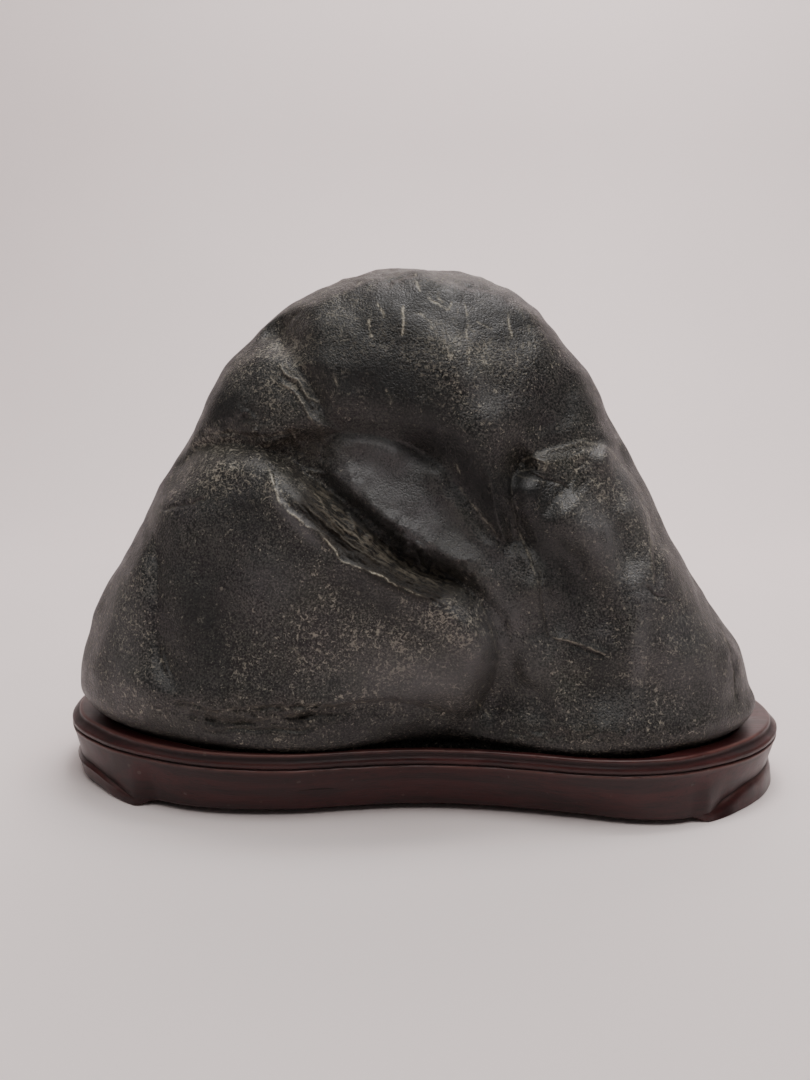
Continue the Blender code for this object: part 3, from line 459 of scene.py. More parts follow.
def carving(u, v, swellings, lines, bosses):
    """Height of the carved relief over the ground at each laid-out point."""
    height = np.exp(np.full(u.shape, BLEND * GROUND))
    for _name, rise, border, outline in swellings:
        path = rounded_path(outline, closed=True)
        at = near(path, 10.0 * border / rise, u, v)
        gap, _along, _left = distance_to(path, u[at], v[at])
        t = np.clip(gap / border, 0.0, 1.0)
        within = inside(path, u[at], v[at])
        swell = np.where(within, rise * t * (2.0 - t), -gap * 2.0 * rise / border)
        height[at] += np.exp(BLEND * np.clip(swell, -20.0, 60.0))
    height = np.log(height) / BLEND
    for _name, rise, left_reach, right_reach, points in lines:
        at = near(points, 2.6 * max(left_reach, right_reach), u, v)
        gap, along, left = distance_to(rounded_path(points, closed=False), u[at], v[at])
        fade = smoothstep(0.0, 0.18, along) * smoothstep(1.0, 0.82, along)
        height[at] += rise * fade * np.exp(-(gap / np.where(left, left_reach, right_reach)) ** 2)
    for _name, rise, *oval in bosses:
        height += rise * patch(u, v, *oval)
    return height


def fine_marks(u, v, form):
    """The fine relief at each laid-out point, and how much there is of pale dust (on the crest, a
    painted highlight), of a dusty line beside it, of the cleft's wall, of its core, painted dark as
    deep shade, and of its fibres."""
    relief, pale, beside = np.zeros(u.shape), np.zeros(u.shape), np.zeros(u.shape)
    wall, core, fibre = np.zeros(u.shape), np.zeros(u.shape), np.full(u.shape, 0.5)
    hairs = [("hair", HAIR_DEPTH, HAIR_REACH, HAIR_REACH, *hair) for hair in HAIRS]
    for _name, rise, left_reach, right_reach, dust, points in (*FINE_LINES, *hairs):
        at = near(points, max(2.0 * BESIDE, 3.2 * max(left_reach, right_reach)), u, v)
        gap, along, left = distance_to(rounded_path(points, closed=False), u[at], v[at])
        fade = smoothstep(0.0, 0.1, along) * smoothstep(1.0, 0.9, along)
        relief[at] += rise * fade * np.exp(-(gap / np.where(left, left_reach, right_reach)) ** 2)
        pale[at] = np.maximum(pale[at], dust * fade * np.exp(-(gap / PALE_WIDTH) ** 2))
        beside[at] = np.maximum(beside[at], min(1, 2 * dust) * np.exp(-(gap / BESIDE) ** 2))
    for k, (_name, rise, size, *oval) in enumerate(ROUGH_PATCHES):
        at = near([oval[:2]], 2.2 * max(oval[2:4]), u, v)
        rough = noise_field(form[at], size, 20 + k) + 0.5 * noise_field(form[at], size / 2, 40 + k)
        relief[at] += rise * rough * patch(u[at], v[at], *oval)
    at = near(CORE, 1.4 * FIBRES_TO, u, v)
    gap, along, left = distance_to(rounded_path(CORE, closed=False), u[at], v[at])
    below = np.where(left, 0.0, 1.0)
    ends = smoothstep(0.0, 0.12, along) * smoothstep(1.0, 0.86, along)
    wall[at] = (below * smoothstep(0.8, FIBRES_FROM, gap) * smoothstep(FIBRES_TO, 9.0, gap)
                * smoothstep(-0.02, 0.1, along) * smoothstep(1.02, 0.88, along))
    core[at] = ends * np.exp(-(gap / np.where(left, CORE_ABOVE, CORE_BELOW)) ** 2)
    for k, (wide, long, high) in enumerate(FIBRES):
        place = np.stack([gap / wide, along * CLEFT_LENGTH / long, np.zeros(len(at))], axis=1)
        thread = noise_field(place, 1.0, 60 + k)
        relief[at] += wall[at] * high * thread * 2.0
        fibre[at] += thread * high
    return relief, pale, beside, wall, core, fibre


def laid_out(points, eye):
    """Where each point falls on the plane y = 0, seen from the eye."""
    reach = eye[1] / (eye[1] - points[:, 1])
    return (eye[0] + (points[:, 0] - eye[0]) * reach, eye[2] + (points[:, 2] - eye[2]) * reach)


def stone_surface(directions):
    """The finished surface of the stone in each direction from the middle, and the
    laid-out marks that its colours follow."""
    directions = directions / np.linalg.norm(directions, axis=1)[:, None]
    form = stone_form(directions)
    normals = stone_normals(directions, form)
    stray = [sum(far * noise_field(form, size, seed) for size, far in WANDER) for seed in (1, 2)]
    points = form.copy()
    sides = ((FRONT_EYE, FRONT_SWELLINGS, FRONT_LINES, FRONT_BOSSES),
             (BACK_EYE, BACK_SWELLINGS, BACK_LINES, BACK_BOSSES))
    marks = {}
    for eye, swellings, lines, bosses in sides:
        sight = np.array(eye, float) - form
        sight /= np.linalg.norm(sight, axis=1)[:, None]
        turned = smoothstep(*TURNED_TO_EYE, (normals * sight).sum(axis=1))
        facing = turned * smoothstep(RELIEF_START, RELIEF_FULL, form[:, 2])
        u, v = laid_out(form, eye)
        relief = carving(u + stray[0], v + stray[1], swellings, lines, bosses) - SUNK
        points += sight * (facing * relief)[:, None]
        if eye is FRONT_EYE:
            fine = [sum(far * noise_field(form, size, seed) for size, far in FINE_WANDER)
                    for seed in (11, 12)]
            edges, pale, beside, wall, core, fibre = fine_marks(u + fine[0], v + fine[1], form)
            turned = turned * smoothstep(FINE_START, FINE_FULL, form[:, 2])
            points += sight * (turned * edges)[:, None]
            # The tone mark carries the painted light and shade of the patches.
            flecks, brown, gloss, tone = (
                turned * sum(strength * patch(u, v, *oval) for strength, *oval in patches)
                for patches in (FLECK_PATCHES, BROWN_PATCHES, GLOSS_PATCHES, PAINTED_LIGHT_SHADE_PATCHES))
            marks = {"pale_line": pale * turned, "line_near": beside * turned,
                     "cleft_wall": wall * turned, "cleft_core": core * turned, "fibre": fibre,
                     "fleck_share": np.maximum(FLECK_GROUND + flecks, 0),
                     "brown": np.maximum(brown, 0), "gloss": gloss, "tone": tone}
    rough = smoothstep(LUMPS_START, LUMPS_FULL, form[:, 2])
    lump = sum(high * noise_field(form, size, 3 + k) for k, (size, high) in enumerate(LUMPS))
    points += normals * (lump * rough)[:, None]
    crown = smoothstep(CROWN_START, CROWN_FULL, form[:, 2])
    folds = sum(high * noise_field(form, size, 80 + k)
                for k, (size, high) in enumerate(CROWN_FOLDS))
    points += normals * (folds * crown)[:, None]
    marks["brown"] = np.maximum(marks["brown"], crown * (0.6 + 0.8 * np.clip(-folds, -1, 1)))
    points[:, 2] = np.maximum(points[:, 2], STONE_FOOT[1])
    return points, marks


def finished_mesh(name, bm, marks):
    """The mesh, shaded smooth, with the marks stored at its points."""
    mesh = bpy.data.meshes.new(name)
    bm.to_mesh(mesh)
    bm.free()
    mesh.shade_smooth()
    for mark, values in marks.items():
        layer = mesh.attributes.new(mark, "FLOAT", "POINT")
        layer.data.foreach_set("value", np.clip(values, -1.0, 1.0).astype(np.float32))
    return mesh


def stone_mesh():
    """A sphere whose points are carried out to the stone, and which is split again
    where its edges still miss the surface or lie on a fine line."""
    bm = bmesh.new()
    bmesh.ops.create_icosphere(bm, subdivisions=SPHERE_DETAIL, radius=1.0)
    for _round in range(SPLIT_ROUNDS):
        room = (FACES - len(bm.faces)) // 5
        if room < 100:
            break
        bm.verts.ensure_lookup_table()
        bm.edges.ensure_lookup_table()
        directions = np.array([v.co.normalized() for v in bm.verts])
        placed, _marks = stone_surface(directions)
        ends = np.array([[v.index for v in e.verts] for e in bm.edges])
        middle, marks = stone_surface(directions[ends[:, 0]] + directions[ends[:, 1]])
        miss = np.linalg.norm(middle - (placed[ends[:, 0]] + placed[ends[:, 1]]) / 2, axis=1)
        length = np.linalg.norm(placed[ends[:, 0]] - placed[ends[:, 1]], axis=1)
        miss += LINE_PULL * marks["line_near"] * np.clip(length - LINE_EDGE, 0, 3)
        cleft = marks["cleft_wall"] + marks["cleft_core"]
        miss += CLEFT_PULL * cleft * np.clip(length - CLEFT_EDGE, 0, 3)
        miss *= np.where(middle[:, 2] < HIDDEN_BELOW, 0.1, 1.0)
        worst = [(max(miss[e.index] for e in f.edges), f) for f in bm.faces]
        worst = sorted((pair for pair in worst if pair[0] > SMALLEST_MISS), key=lambda p: -p[0])
        rough = {e for _miss, f in worst[:room] for e in f.edges}
        bmesh.ops.subdivide_edges(bm, edges=sorted(rough, key=lambda e: e.index), cuts=1,
                                  use_grid_fill=True)
        bmesh.ops.triangulate(bm, faces=bm.faces[:])
        for v in bm.verts:
            v.co.normalize()
    directions = np.array([v.co.normalized() for v in bm.verts])
    placed, marks = stone_surface(directions)
    for v, place in zip(bm.verts, placed):
        v.co = Vector(place) * MM
    bmesh.ops.recalc_face_normals(bm, faces=bm.faces[:])
    return finished_mesh("stone", bm, marks)


def sockets(group, inputs, outputs):
    """Names the inputs (with their usual values) and outputs of a node group."""
    for name, kind, value in inputs:
        made = group.interface.new_socket(name, in_out="INPUT", socket_type=kind)
        if value is not None:
            made.default_value = value
    for name, kind in outputs:
        group.interface.new_socket(name, in_out="OUTPUT", socket_type=kind)
    return group.nodes.new("NodeGroupInput"), group.nodes.new("NodeGroupOutput")


def home(*values):
    """The node tree that the first linked value belongs to."""
    return next(v.id_data for v in values if isinstance(v, bpy.types.NodeSocket))


def join(value, socket):
    """Links a socket, or sets a plain number or colour."""
    if isinstance(value, bpy.types.NodeSocket):
        socket.id_data.links.new(value, socket)
    else:
        socket.default_value = value


def maths(kind, *values):
    """A math node."""
    made = home(*values).nodes.new("ShaderNodeMath")
    made.operation = kind
    for k, value in enumerate(values):
        join(value, made.inputs[k])
    return made.outputs[0]


def times(first, second):
    return maths("MULTIPLY", first, second)


def between(value, low, high, start=0.0, end=1.0):
    """Carries low..high over to start..end, smoothly and no further."""
    made = home(value).nodes.new("ShaderNodeMapRange")
    made.interpolation_type = "SMOOTHSTEP"
    for k, number in enumerate((value, low, high, start, end)):
        join(number, made.inputs[k])
    return made.outputs[0]


def blend(share, first, second):
    """The first colour, with a share of the second over it."""
    made = home(share, first, second).nodes.new("ShaderNodeMix")
    made.data_type = "RGBA"
    for k, value in ((0, share), (6, first), (7, second)):
        join(value, made.inputs[k])
    return made.outputs[2]


def cloud(place, scale, detail=2.0, rough=0.5, output=0):
    """Noise of so many lumps a metre, from 0 to 1."""
    made = home(place).nodes.new("ShaderNodeTexNoise")
    values = (place, scale, detail, rough)
    for name, value in zip(("Vector", "Scale", "Detail", "Roughness"), values):
        join(value, made.inputs[name])
    return made.outputs[output]


def stretched(place, scale=(1, 1, 1), shift=(0, 0, 0), turn=0.0):
    """The place, drawn out, moved and turned in degrees about the front-to-back axis."""
    made = home(place).nodes.new("ShaderNodeMapping")
    values = (place, scale, shift, (0, radians(turn), 0))
    for name, value in zip(("Vector", "Scale", "Location", "Rotation"), values):
        join(value, made.inputs[name])
    return made.outputs[0]


def jolted(place, scale, far):
    """The place, moved about by noise, so that spots are not round."""
    shifted, made = (home(place).nodes.new("ShaderNodeVectorMath") for _ in range(2))
    shifted.operation, made.operation = "SUBTRACT", "MULTIPLY_ADD"
    join(cloud(place, scale, output="Color"), shifted.inputs[0])
    join((0.5, 0.5, 0.5), shifted.inputs[1])
    for k, value in enumerate((shifted.outputs[0], (far, far, far), place)):
        join(value, made.inputs[k])
    return made.outputs[0]


def make_specks():
    """Pale specks of dust or crystal: spots of mixed size in a share of the cells."""
    group = bpy.data.node_groups.new("specks", "ShaderNodeTree")
    come, go = sockets(group, [("Place", "NodeSocketVector", None),
                               ("Cells per Metre", "NodeSocketFloat", 600.0),
                               ("Share", "NodeSocketFloat", 0.4)], [("Mask", "NodeSocketFloat")])
    place = jolted(come.outputs["Place"], 900.0, 0.0014)
    cells = group.nodes.new("ShaderNodeTexVoronoi")
    join(place, cells.inputs["Vector"])
    join(come.outputs["Cells per Metre"], cells.inputs["Scale"])
    chance = group.nodes.new("ShaderNodeSeparateColor")
    join(cells.outputs["Color"], chance.inputs[0])
    size = maths("MULTIPLY_ADD", maths("POWER", chance.outputs[0], 2.0), 0.30, 0.20)
    edge = maths("SUBTRACT", size, cells.outputs["Distance"])
    spot = between(edge, 0.0, 0.12)
    lit = maths("LESS_THAN", chance.outputs[1], come.outputs["Share"])
    bright = between(chance.outputs[2], 0.0, 1.0, 0.35, 1.0)
    both = times(spot, lit)
    join(times(both, bright), go.inputs["Mask"])
    return group


def make_scratches():
    """Short curling hair scratches: thin level lines of a noise, broken up."""
    group = bpy.data.node_groups.new("scratches", "ShaderNodeTree")
    come, go = sockets(group, [("Place", "NodeSocketVector", None),
                               ("Curls per Metre", "NodeSocketFloat", 120.0),
                               ("Width", "NodeSocketFloat", 0.01),
                               ("Share", "NodeSocketFloat", 0.3)], [("Mask", "NodeSocketFloat")])
    place = come.outputs["Place"]
    level = cloud(place, come.outputs["Curls per Metre"], detail=1.0)
    off = maths("ABSOLUTE", maths("SUBTRACT", level, 0.5))
    thin = maths("SUBTRACT", 1.0, between(off, 0.0, come.outputs["Width"]))
    broken = cloud(stretched(place, shift=(3.1, 1.7, 5.3)), 480.0)
    limit = maths("SUBTRACT", 0.70, times(come.outputs["Share"], 0.22))
    shown = between(maths("SUBTRACT", broken, limit), 0.0, 0.04)
    join(times(thin, shown), go.inputs["Mask"])
    return group


specks = make_specks()
scratches = make_scratches()


def use(group, **inputs):
    """Places a node group with its own values and gives its outputs."""
    made = home(*inputs.values()).nodes.new("ShaderNodeGroup")
    made.node_tree = group
    for name, value in inputs.items():
        join(value, made.inputs[name.replace("_", " ")])
    return made.outputs


def painted(name):
    """A value that is stored on the mesh."""
    made = tree.nodes.new("ShaderNodeAttribute")
    made.attribute_name = name
    return made.outputs["Fac"]


def start_skin(name):
    """A new material, its node tree, its shader and the place on the object."""
    skin = bpy.data.materials.new(name)
    skin.use_nodes = True
    nodes = skin.node_tree.nodes
    place = nodes.new("ShaderNodeTexCoord").outputs["Object"]
    return skin, skin.node_tree, nodes["Principled BSDF"], place


def emboss(shader, height, strength, depth):
    """Raises the surface a little in the shading, by the height."""
    bump = home(height).nodes.new("ShaderNodeBump")
    for name, value in (("Strength", strength), ("Distance", depth), ("Height", height)):
        join(value, bump.inputs[name])
    join(bump.outputs[0], shader.inputs["Normal"])


def set_out(name, mesh, skin):
    """The object of a mesh with its material, put in the scene."""
    piece = bpy.data.objects.new(name, mesh)
    piece.data.materials.append(skin)
    bpy.context.scene.collection.objects.link(piece)
    return piece


stone_skin, tree, shader, place = start_skin("oiled_river_stone")
broad = cloud(place, 26.0, 4.0, 0.6)
middling = cloud(place, 130.0, 3.0, 0.6)
grit = cloud(place, 900.0, 3.0, 0.65)

GREY, DARK_GREY = (0.0350, 0.0338, 0.0325, 1), (0.0210, 0.0212, 0.0212, 1)
GREEN_GREY, VIOLET_GREY = (0.0280, 0.0295, 0.0240, 1), (0.0310, 0.0265, 0.0295, 1)
PAINTED_LIGHT_GREY, PAINTED_SHADE_GREY = (0.105, 0.103, 0.105, 1), (0.0050, 0.0050, 0.0052, 1)
BROWN, CLEFT_BROWN = (0.046, 0.038, 0.026, 1), (0.018, 0.0125, 0.0075, 1)
CLEFT_DARK_AND_SHADE, CLEFT_RUBBLE_AND_GLINT = (0.005, 0.004, 0.003, 1), (0.110, 0.094, 0.070, 1)
PIT, GRAIN_PALE = (0.004, 0.004, 0.004, 1), (0.150, 0.138, 0.118, 1)
DUST, LINE_DUST_AND_HIGHLIGHT = (0.36, 0.33, 0.265, 1), (0.46, 0.42, 0.33, 1)
brown_share = times(painted("brown"), between(middling, 0.3, 0.7, 0.4, 1.0))
colour = blend(between(broad, 0.35, 0.65), GREY, DARK_GREY)
tint = cloud(stretched(place, shift=(7, 3, 9)), 55.0, 2.0)
colour = blend(between(tint, 0.52, 0.72, 0.0, 0.7), colour, GREEN_GREY)
colour = blend(between(tint, 0.48, 0.30, 0.0, 0.7), colour, VIOLET_GREY)
colour = blend(between(broad, 0.5, 0.75, 0.0, 0.3), colour, BROWN)
colour = blend(brown_share, colour, BROWN)
patchy = between(cloud(place, 55.0, 3.0, 0.6), 0.33, 0.66, 0.55, 1.4)
share = times(painted("fleck_share"), patchy)
grain = cloud(place, 1150.0, 1.5, 0.6)
colour = blend(between(grain, 0.50, 0.37, 0.0, 0.9), colour, PIT)
pale_grain = times(between(grain, 0.50, 0.64),
                    maths("MULTIPLY_ADD", share, 0.56, 0.19))
colour = blend(maths("MINIMUM", pale_grain, 0.9), colour, GRAIN_PALE)
fine = use(specks, Place=place, Cells_per_Metre=1400.0,
           Share=maths("MULTIPLY_ADD", share, 0.25, 0.03))["Mask"]
small = use(specks, Place=place, Cells_per_Metre=850.0,
            Share=times(share, 0.16))["Mask"]
large = use(specks, Place=place, Cells_per_Metre=430.0,
            Share=times(share, 0.02))["Mask"]
curls = use(scratches, Place=place, Curls_per_Metre=250.0, Width=0.046, Share=share)["Mask"]
crisp = use(scratches, Place=stretched(place, shift=(2, 5, 1)),
            Curls_per_Metre=390.0, Width=0.075, Share=share)["Mask"]
flecks = maths("MAXIMUM", times(fine, 0.5), times(small, 0.62))
flecks = maths("MAXIMUM", flecks, times(large, 0.6))
flecks = maths("MAXIMUM", flecks, times(curls, 0.78))
flecks = maths("MAXIMUM", flecks, times(crisp, 0.62))
colour = blend(times(flecks, 0.85), colour, DUST)
along_cleft = stretched(stretched(place, turn=-35.0), (0.13, 1.0, 1.0))
threads = cloud(along_cleft, 780.0, 3.0, 0.6)
fibre_tone = maths("MULTIPLY_ADD", between(threads, 0.40, 0.62), 0.7,
                    between(painted("fibre"), 0.3, 0.75, 0.0, 0.3))
colour = blend(painted("cleft_wall"), colour, blend(fibre_tone, CLEFT_DARK_AND_SHADE, CLEFT_BROWN))
# The core of the cleft is painted near-black as deep shade, and the pale rubble in it carries
# painted glints.
rubble = cloud(stretched(along_cleft, (3.0, 1.0, 1.0)), 480.0, 4.0, 0.65)
core_shade_and_glints = blend(between(rubble, 0.44, 0.60), CLEFT_DARK_AND_SHADE, CLEFT_RUBBLE_AND_GLINT)
colour = blend(maths("MINIMUM", times(painted("cleft_core"), 1.3), 0.95),
               colour, core_shade_and_glints)
uneven = between(middling, 0.3, 0.7, 0.7, 1.1)
# Painted light and shade: the tone mark lightens the skin towards pale grey where light is painted
# and darkens it where shade is painted.
painted_light = times(maths("MAXIMUM", painted("tone"), 0.0), uneven)
painted_shade = times(maths("MINIMUM", painted("tone"), 0.0), uneven)
colour = blend(maths("MINIMUM", times(painted_light, 0.7), 0.75), colour, PAINTED_LIGHT_GREY)
colour = blend(maths("MINIMUM", times(painted_shade, -1.0), 0.9), colour,
               PAINTED_SHADE_GREY)
worn_off = between(cloud(place, 240.0, 3.0, 0.7), 0.40, 0.58, 0.1, 1.0)
lines = times(painted("pale_line"), between(grit, 0.35, 0.55, 0.45, 1.0))
lines = times(lines, worn_off)
# Pale dust along the lines, and the painted highlight along the crest.
colour = blend(lines, colour, LINE_DUST_AND_HIGHLIGHT)
join(colour, shader.inputs["Base Color"])
shader.inputs["Specular IOR Level"].default_value = 0.41
worn = between(middling, 0.3, 0.7, 0.38, 0.50)
worn = maths("ADD", worn, between(grain, 0.4, 0.6, -0.08, 0.10))
worn = maths("SUBTRACT", worn, times(painted("gloss"), 0.16))
worn = maths("MULTIPLY_ADD", flecks, 0.15, worn)
worn = maths("MULTIPLY_ADD", painted("cleft_core"), 0.1, worn)
worn = maths("MULTIPLY_ADD", painted("cleft_wall"), 0.32, worn)
join(maths("MINIMUM", worn, 0.95), shader.inputs["Roughness"])
relief = maths("MULTIPLY_ADD", middling, 1.2, times(grain, 0.9))
relief = maths("MULTIPLY_ADD", grit, 0.3, relief)
relief = maths("MULTIPLY_ADD", times(threads, painted("cleft_wall")), 1.6, relief)
relief = maths("MULTIPLY_ADD", times(rubble, painted("cleft_core")), 2.2, relief)
emboss(shader, relief, 0.6, 0.0008)

stone = set_out("stone", stone_mesh(), stone_skin)
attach(stone, "root")
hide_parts("rock")

# ------------------------------------------------------------------ the stand
# A low stand carved from one piece of dark rosewood: a moulded rim, a fascia with a
# bead under it, an apron that draws in to the floor and a broad foot at each end.
# The seat is cut to the stone; the wood is stained, oiled and rubbed to a satin.
STAND_HEIGHT = 31.6
SEAT_FLOOR = 13.6
UNDERSIDE = 3.6
APRON_CLEAR = 2.6
APRON_WALL = 9.0
FOOT_PAD = 16.0
STATIONS = 620
STAND_PLAN = (
    (171, 6), (169, 22), (162, 38), (150, 52), (131, 63), (108, 70), (82, 73), (50, 73), (10, 72),
    (-30, 72.5), (-64, 74), (-93, 74), (-118, 70), (-139, 61), (-155, 48.5), (-165, 34), (-170, 17),
    (-170.5, 1), (-168.5, -13), (-163, -27), (-154, -38.5), (-140, -51), (-122, -61), (-102, -68.5),
    (-80, -72), (-57, -71.5), (-32, -66.5), (-6, -62.5), (20, -62.5), (44, -65.5), (67, -69.5),
    (89, -70), (110, -65.5), (129, -56.5), (145, -45.5), (157, -33), (165.5, -19), (170, -6))
SEAT_GAP = 0.9
RIM_WIDTH, RIM_WIDTH_ENDS, RIM_WIDENS = 3.2, 17.0, (88, 152)
RIM_ROLL = 1.1                 # width of the rounding at the rim's inner edge
END_STARTS = 104
FOOT_TIP_LEFT, FOOT_TIP_RIGHT = 131, 126
FOOT_RUN, FOOT_HEIGHT, FOOT_TIP_HEIGHT = 27, 10.8, 4.0
APRON_INSET, APRON_INSET_LEFT, APRON_INSET_RIGHT = 10.5, 7.0, 1.5
FOOT_INSET_LEFT, FOOT_INSET_RIGHT = (1.5, 5.0), (-1.5, 1.0)
HAND_WORK = 0.12               # how far the carved surface strays from true


def stand_plan(count):
    """Points evenly spaced round the plan, with the outward direction at each."""
    path = rounded_path(STAND_PLAN, closed=True, steps=12)
    length = np.concatenate([[0.0], np.cumsum(np.linalg.norm(np.diff(path, axis=0), axis=1))])
    where = np.arange(count) / count * length[-1]
    x, y = np.interp(where, length, path[:, 0]), np.interp(where, length, path[:, 1])
    ahead = np.stack([np.roll(x, -1) - np.roll(x, 1), np.roll(y, -1) - np.roll(y, 1)], axis=1)
    ahead /= np.linalg.norm(ahead, axis=1)[:, None]
    return np.stack([x, y], axis=1), np.stack([ahead[:, 1], -ahead[:, 0]], axis=1)


def seat_outline():
    """Outline of the stone where it enters the stand."""
    lift = np.linspace(0.0, 0.5, 400)
    at_rim = np.interp(STAND_HEIGHT, stone_profile(lift)[:, 0], lift)
    turn = np.arange(900) / 900 * 2 * pi
    tilt = np.full(turn.shape, (at_rim - 0.5) * pi)
    ring = np.stack([np.cos(tilt) * np.cos(turn), np.cos(tilt) * np.sin(turn), np.sin(tilt)], 1)
    return stone_form(ring)[:, :2]


def stand_section(x):
    """Outer part of the section at a station, from the flat of the rim down the
    apron to the board underneath: (distance out from the plan line, height, how
    much the edge is rubbed pale and painted with a highlight, how much shade is painted into the
    groove)."""
    left = x < 0
    tip = FOOT_TIP_LEFT if left else FOOT_TIP_RIGHT
    end = smoothstep(END_STARTS, tip + FOOT_RUN, abs(x))
    foot = smoothstep(tip - 3, tip + FOOT_RUN, abs(x))
    crease = smoothstep(tip - 6, tip + 12, abs(x))
    on_floor = smoothstep(tip - 9, tip, abs(x))
    lift = APRON_CLEAR * (1 - on_floor)
    at_foot = APRON_INSET_LEFT if left else APRON_INSET_RIGHT
    apron_in = APRON_INSET + (at_foot - APRON_INSET) * smoothstep(60, tip - 9, abs(x))
    at_tip, at_end = FOOT_INSET_LEFT if left else FOOT_INSET_RIGHT
    foot_in = at_tip + (at_end - at_tip) * foot
    inset = apron_in * (1 - on_floor) + foot_in * on_floor
    underside = -inset - APRON_WALL - (FOOT_PAD - APRON_WALL) * on_floor
    waist = FOOT_TIP_HEIGHT + (FOOT_HEIGHT - FOOT_TIP_HEIGHT) * foot
    band = waist - lift
    top, edge = STAND_HEIGHT, 3.0 * end
    shoulder_z = top - 10.4
    drop = shoulder_z - waist
    knee = -0.85 * inset * (1 - crease) - 3.6 * crease
    return [
        (-2.6 - edge, top, 0.0, 0.0), (-1.7 - edge, top - 0.03, 0.5, 0.0),
        (-1.1 - edge, top - 0.25, 1.0, 0.0), (-0.7 - edge, top - 0.7, 0.6, 0.0),
        (-0.7 - edge, top - 1.2, 0.0, 0.1), (-1.1 - 0.8 * edge, top - 1.8, 0.0, 0.5),
        (-1.4 - 0.6 * edge, top - 2.4, 0.0, 0.9), (-1.2 - 0.45 * edge, top - 3.0, 0.0, 0.6),
        (-0.7 - 0.2 * edge, top - 3.6, 0.0, 0.1), (-0.4, top - 4.1, 0.25, 0.0),
        (-0.2, top - 4.9, 0.1, 0.0), (-0.25, top - 5.7, 0.0, 0.0), (-0.5, top - 6.15, 0.1, 0.1),
        (-1.2, top - 6.55, 0.0, 0.9), (-1.2, top - 6.85, 0.0, 0.9), (-0.55, top - 7.05, 0.4, 0.1),
        (-0.25, top - 7.4, 0.9, 0.0), (-0.35, top - 7.9, 0.5, 0.0), (-0.7, top - 8.6, 0.1, 0.1),
        (-0.95, top - 9.5, 0.0, 0.1), (-1.2, shoulder_z, 0.0, 0.0),
        *((-1.2 + share * (knee + 1.2), waist + up * drop, 0.0, dark)
          for share, up, dark in ((0.30, 0.72, 0.0), (0.62, 0.44, 0.0), (0.88, 0.18, 0.1))),
        (knee, waist + 0.25, 0.0, 0.7 * crease),
        (knee - 0.25 * crease, waist - 0.2, 0.0, 0.9 * crease),
        (knee + 0.5 * crease - 0.05 * inset * (1 - crease), lift + 0.9 * band, 0.5 * crease, 0.0),
        *((-share * inset * (1 - crease) - (toe * foot_in + sunk) * crease,
           lift + up * band, rub_and_highlight * crease, 0.0)
          for share, toe, sunk, up, rub_and_highlight in (
              (0.9, 0.0, 2.3, 0.8, 0.2), (0.93, 0.35, 1.4, 0.6, 0.0),
              (0.95, 0.5, 1.0, 0.4, 0.0), (0.97, 0.75, 0.4, 0.18, 0.0))),
        (-inset - 0.15, lift + 0.35, 0.4, 0.0), (-inset - 0.6, lift, 0.3, 0.0),
        (underside, lift, 0.0, 0.4), (underside - 1.5, UNDERSIDE, 0.0, 1.0)]


def stand_rings(count):
    """Sections round the stand, each from the floor of the seat over the rim. The
    rim is narrow along the front and widens to the ends and the back."""
    plan, outward = stand_plan(count)
    seat = seat_outline()
    rings = []
    for here, out in zip(plan, outward):
        stone_edge = seat[np.argmin(np.linalg.norm(seat - here, axis=1))]
        room = np.linalg.norm(here - stone_edge)
        away = (here - stone_edge) / room
        wide = smoothstep(*RIM_WIDENS, abs(here[0])) if here[1] < 0 else 1.0
        widest = RIM_WIDTH + (RIM_WIDTH_ENDS - RIM_WIDTH) * wide
        wall = here - away * min(room - SEAT_GAP, widest + RIM_ROLL)
        inner = ((-1.9, SEAT_FLOOR, 0.0, 1.0), (-0.2, STAND_HEIGHT - 4.0, 0.0, 0.7),
                 (0.0, STAND_HEIGHT - 1.2, 0.1, 0.1), (0.25, STAND_HEIGHT - 0.45, 0.8, 0.0),
                 (0.6, STAND_HEIGHT - 0.12, 0.8, 0.0), (1.2, STAND_HEIGHT, 0.2, 0.0))
        ring = [(*(wall + away * o), *rest) for o, *rest in inner]
        ring += [(*(here + out * o), *rest) for o, *rest in stand_section(here[0])]
        rings.append(ring)
    return np.array(rings)


def stand_mesh():
    """The section is swept round the plan; the seat and the underside are flat."""
    rings = stand_rings(STATIONS)
    places, rubbed, painted_recess_shade = rings[..., :3], rings[..., 3], rings[..., 4]
    flat = places.reshape(-1, 3)
    stray = np.stack([noise_field(flat, 9.0, seed) + 0.5 * noise_field(flat, 3.5, seed)
                      for seed in (81, 82, 83)], axis=1) * HAND_WORK
    stray[:, 2] *= (flat[:, 2] > 4.0) & (flat[:, 2] < STAND_HEIGHT - 0.1)
    still = (np.arange(len(flat)) % rings.shape[1] == 0)
    stray[still] = 0.0
    flat = flat + stray
    flat[:, 2] = np.clip(flat[:, 2], 0.0, STAND_HEIGHT)
    bm = bmesh.new()
    verts = [bm.verts.new(Vector(p) * MM) for p in flat]
    wide = rings.shape[1]
    columns = [verts[k * wide:(k + 1) * wide] for k in range(STATIONS)]
    for here, after in zip(columns, columns[1:] + columns[:1]):
        for i in range(wide - 1):
            bm.faces.new((here[i], here[i + 1], after[i + 1], after[i]))
    bm.faces.new([column[0] for column in columns])
    bm.faces.new([column[-1] for column in reversed(columns)])
    bmesh.ops.recalc_face_normals(bm, faces=bm.faces[:])
    marks = {"rubbed_edge_and_highlight": rubbed.reshape(-1), "painted_recess_shade": painted_recess_shade.reshape(-1)}
    mesh = finished_mesh("stand", bm, marks)
    mesh.set_sharp_from_angle(angle=0.9)
    return mesh


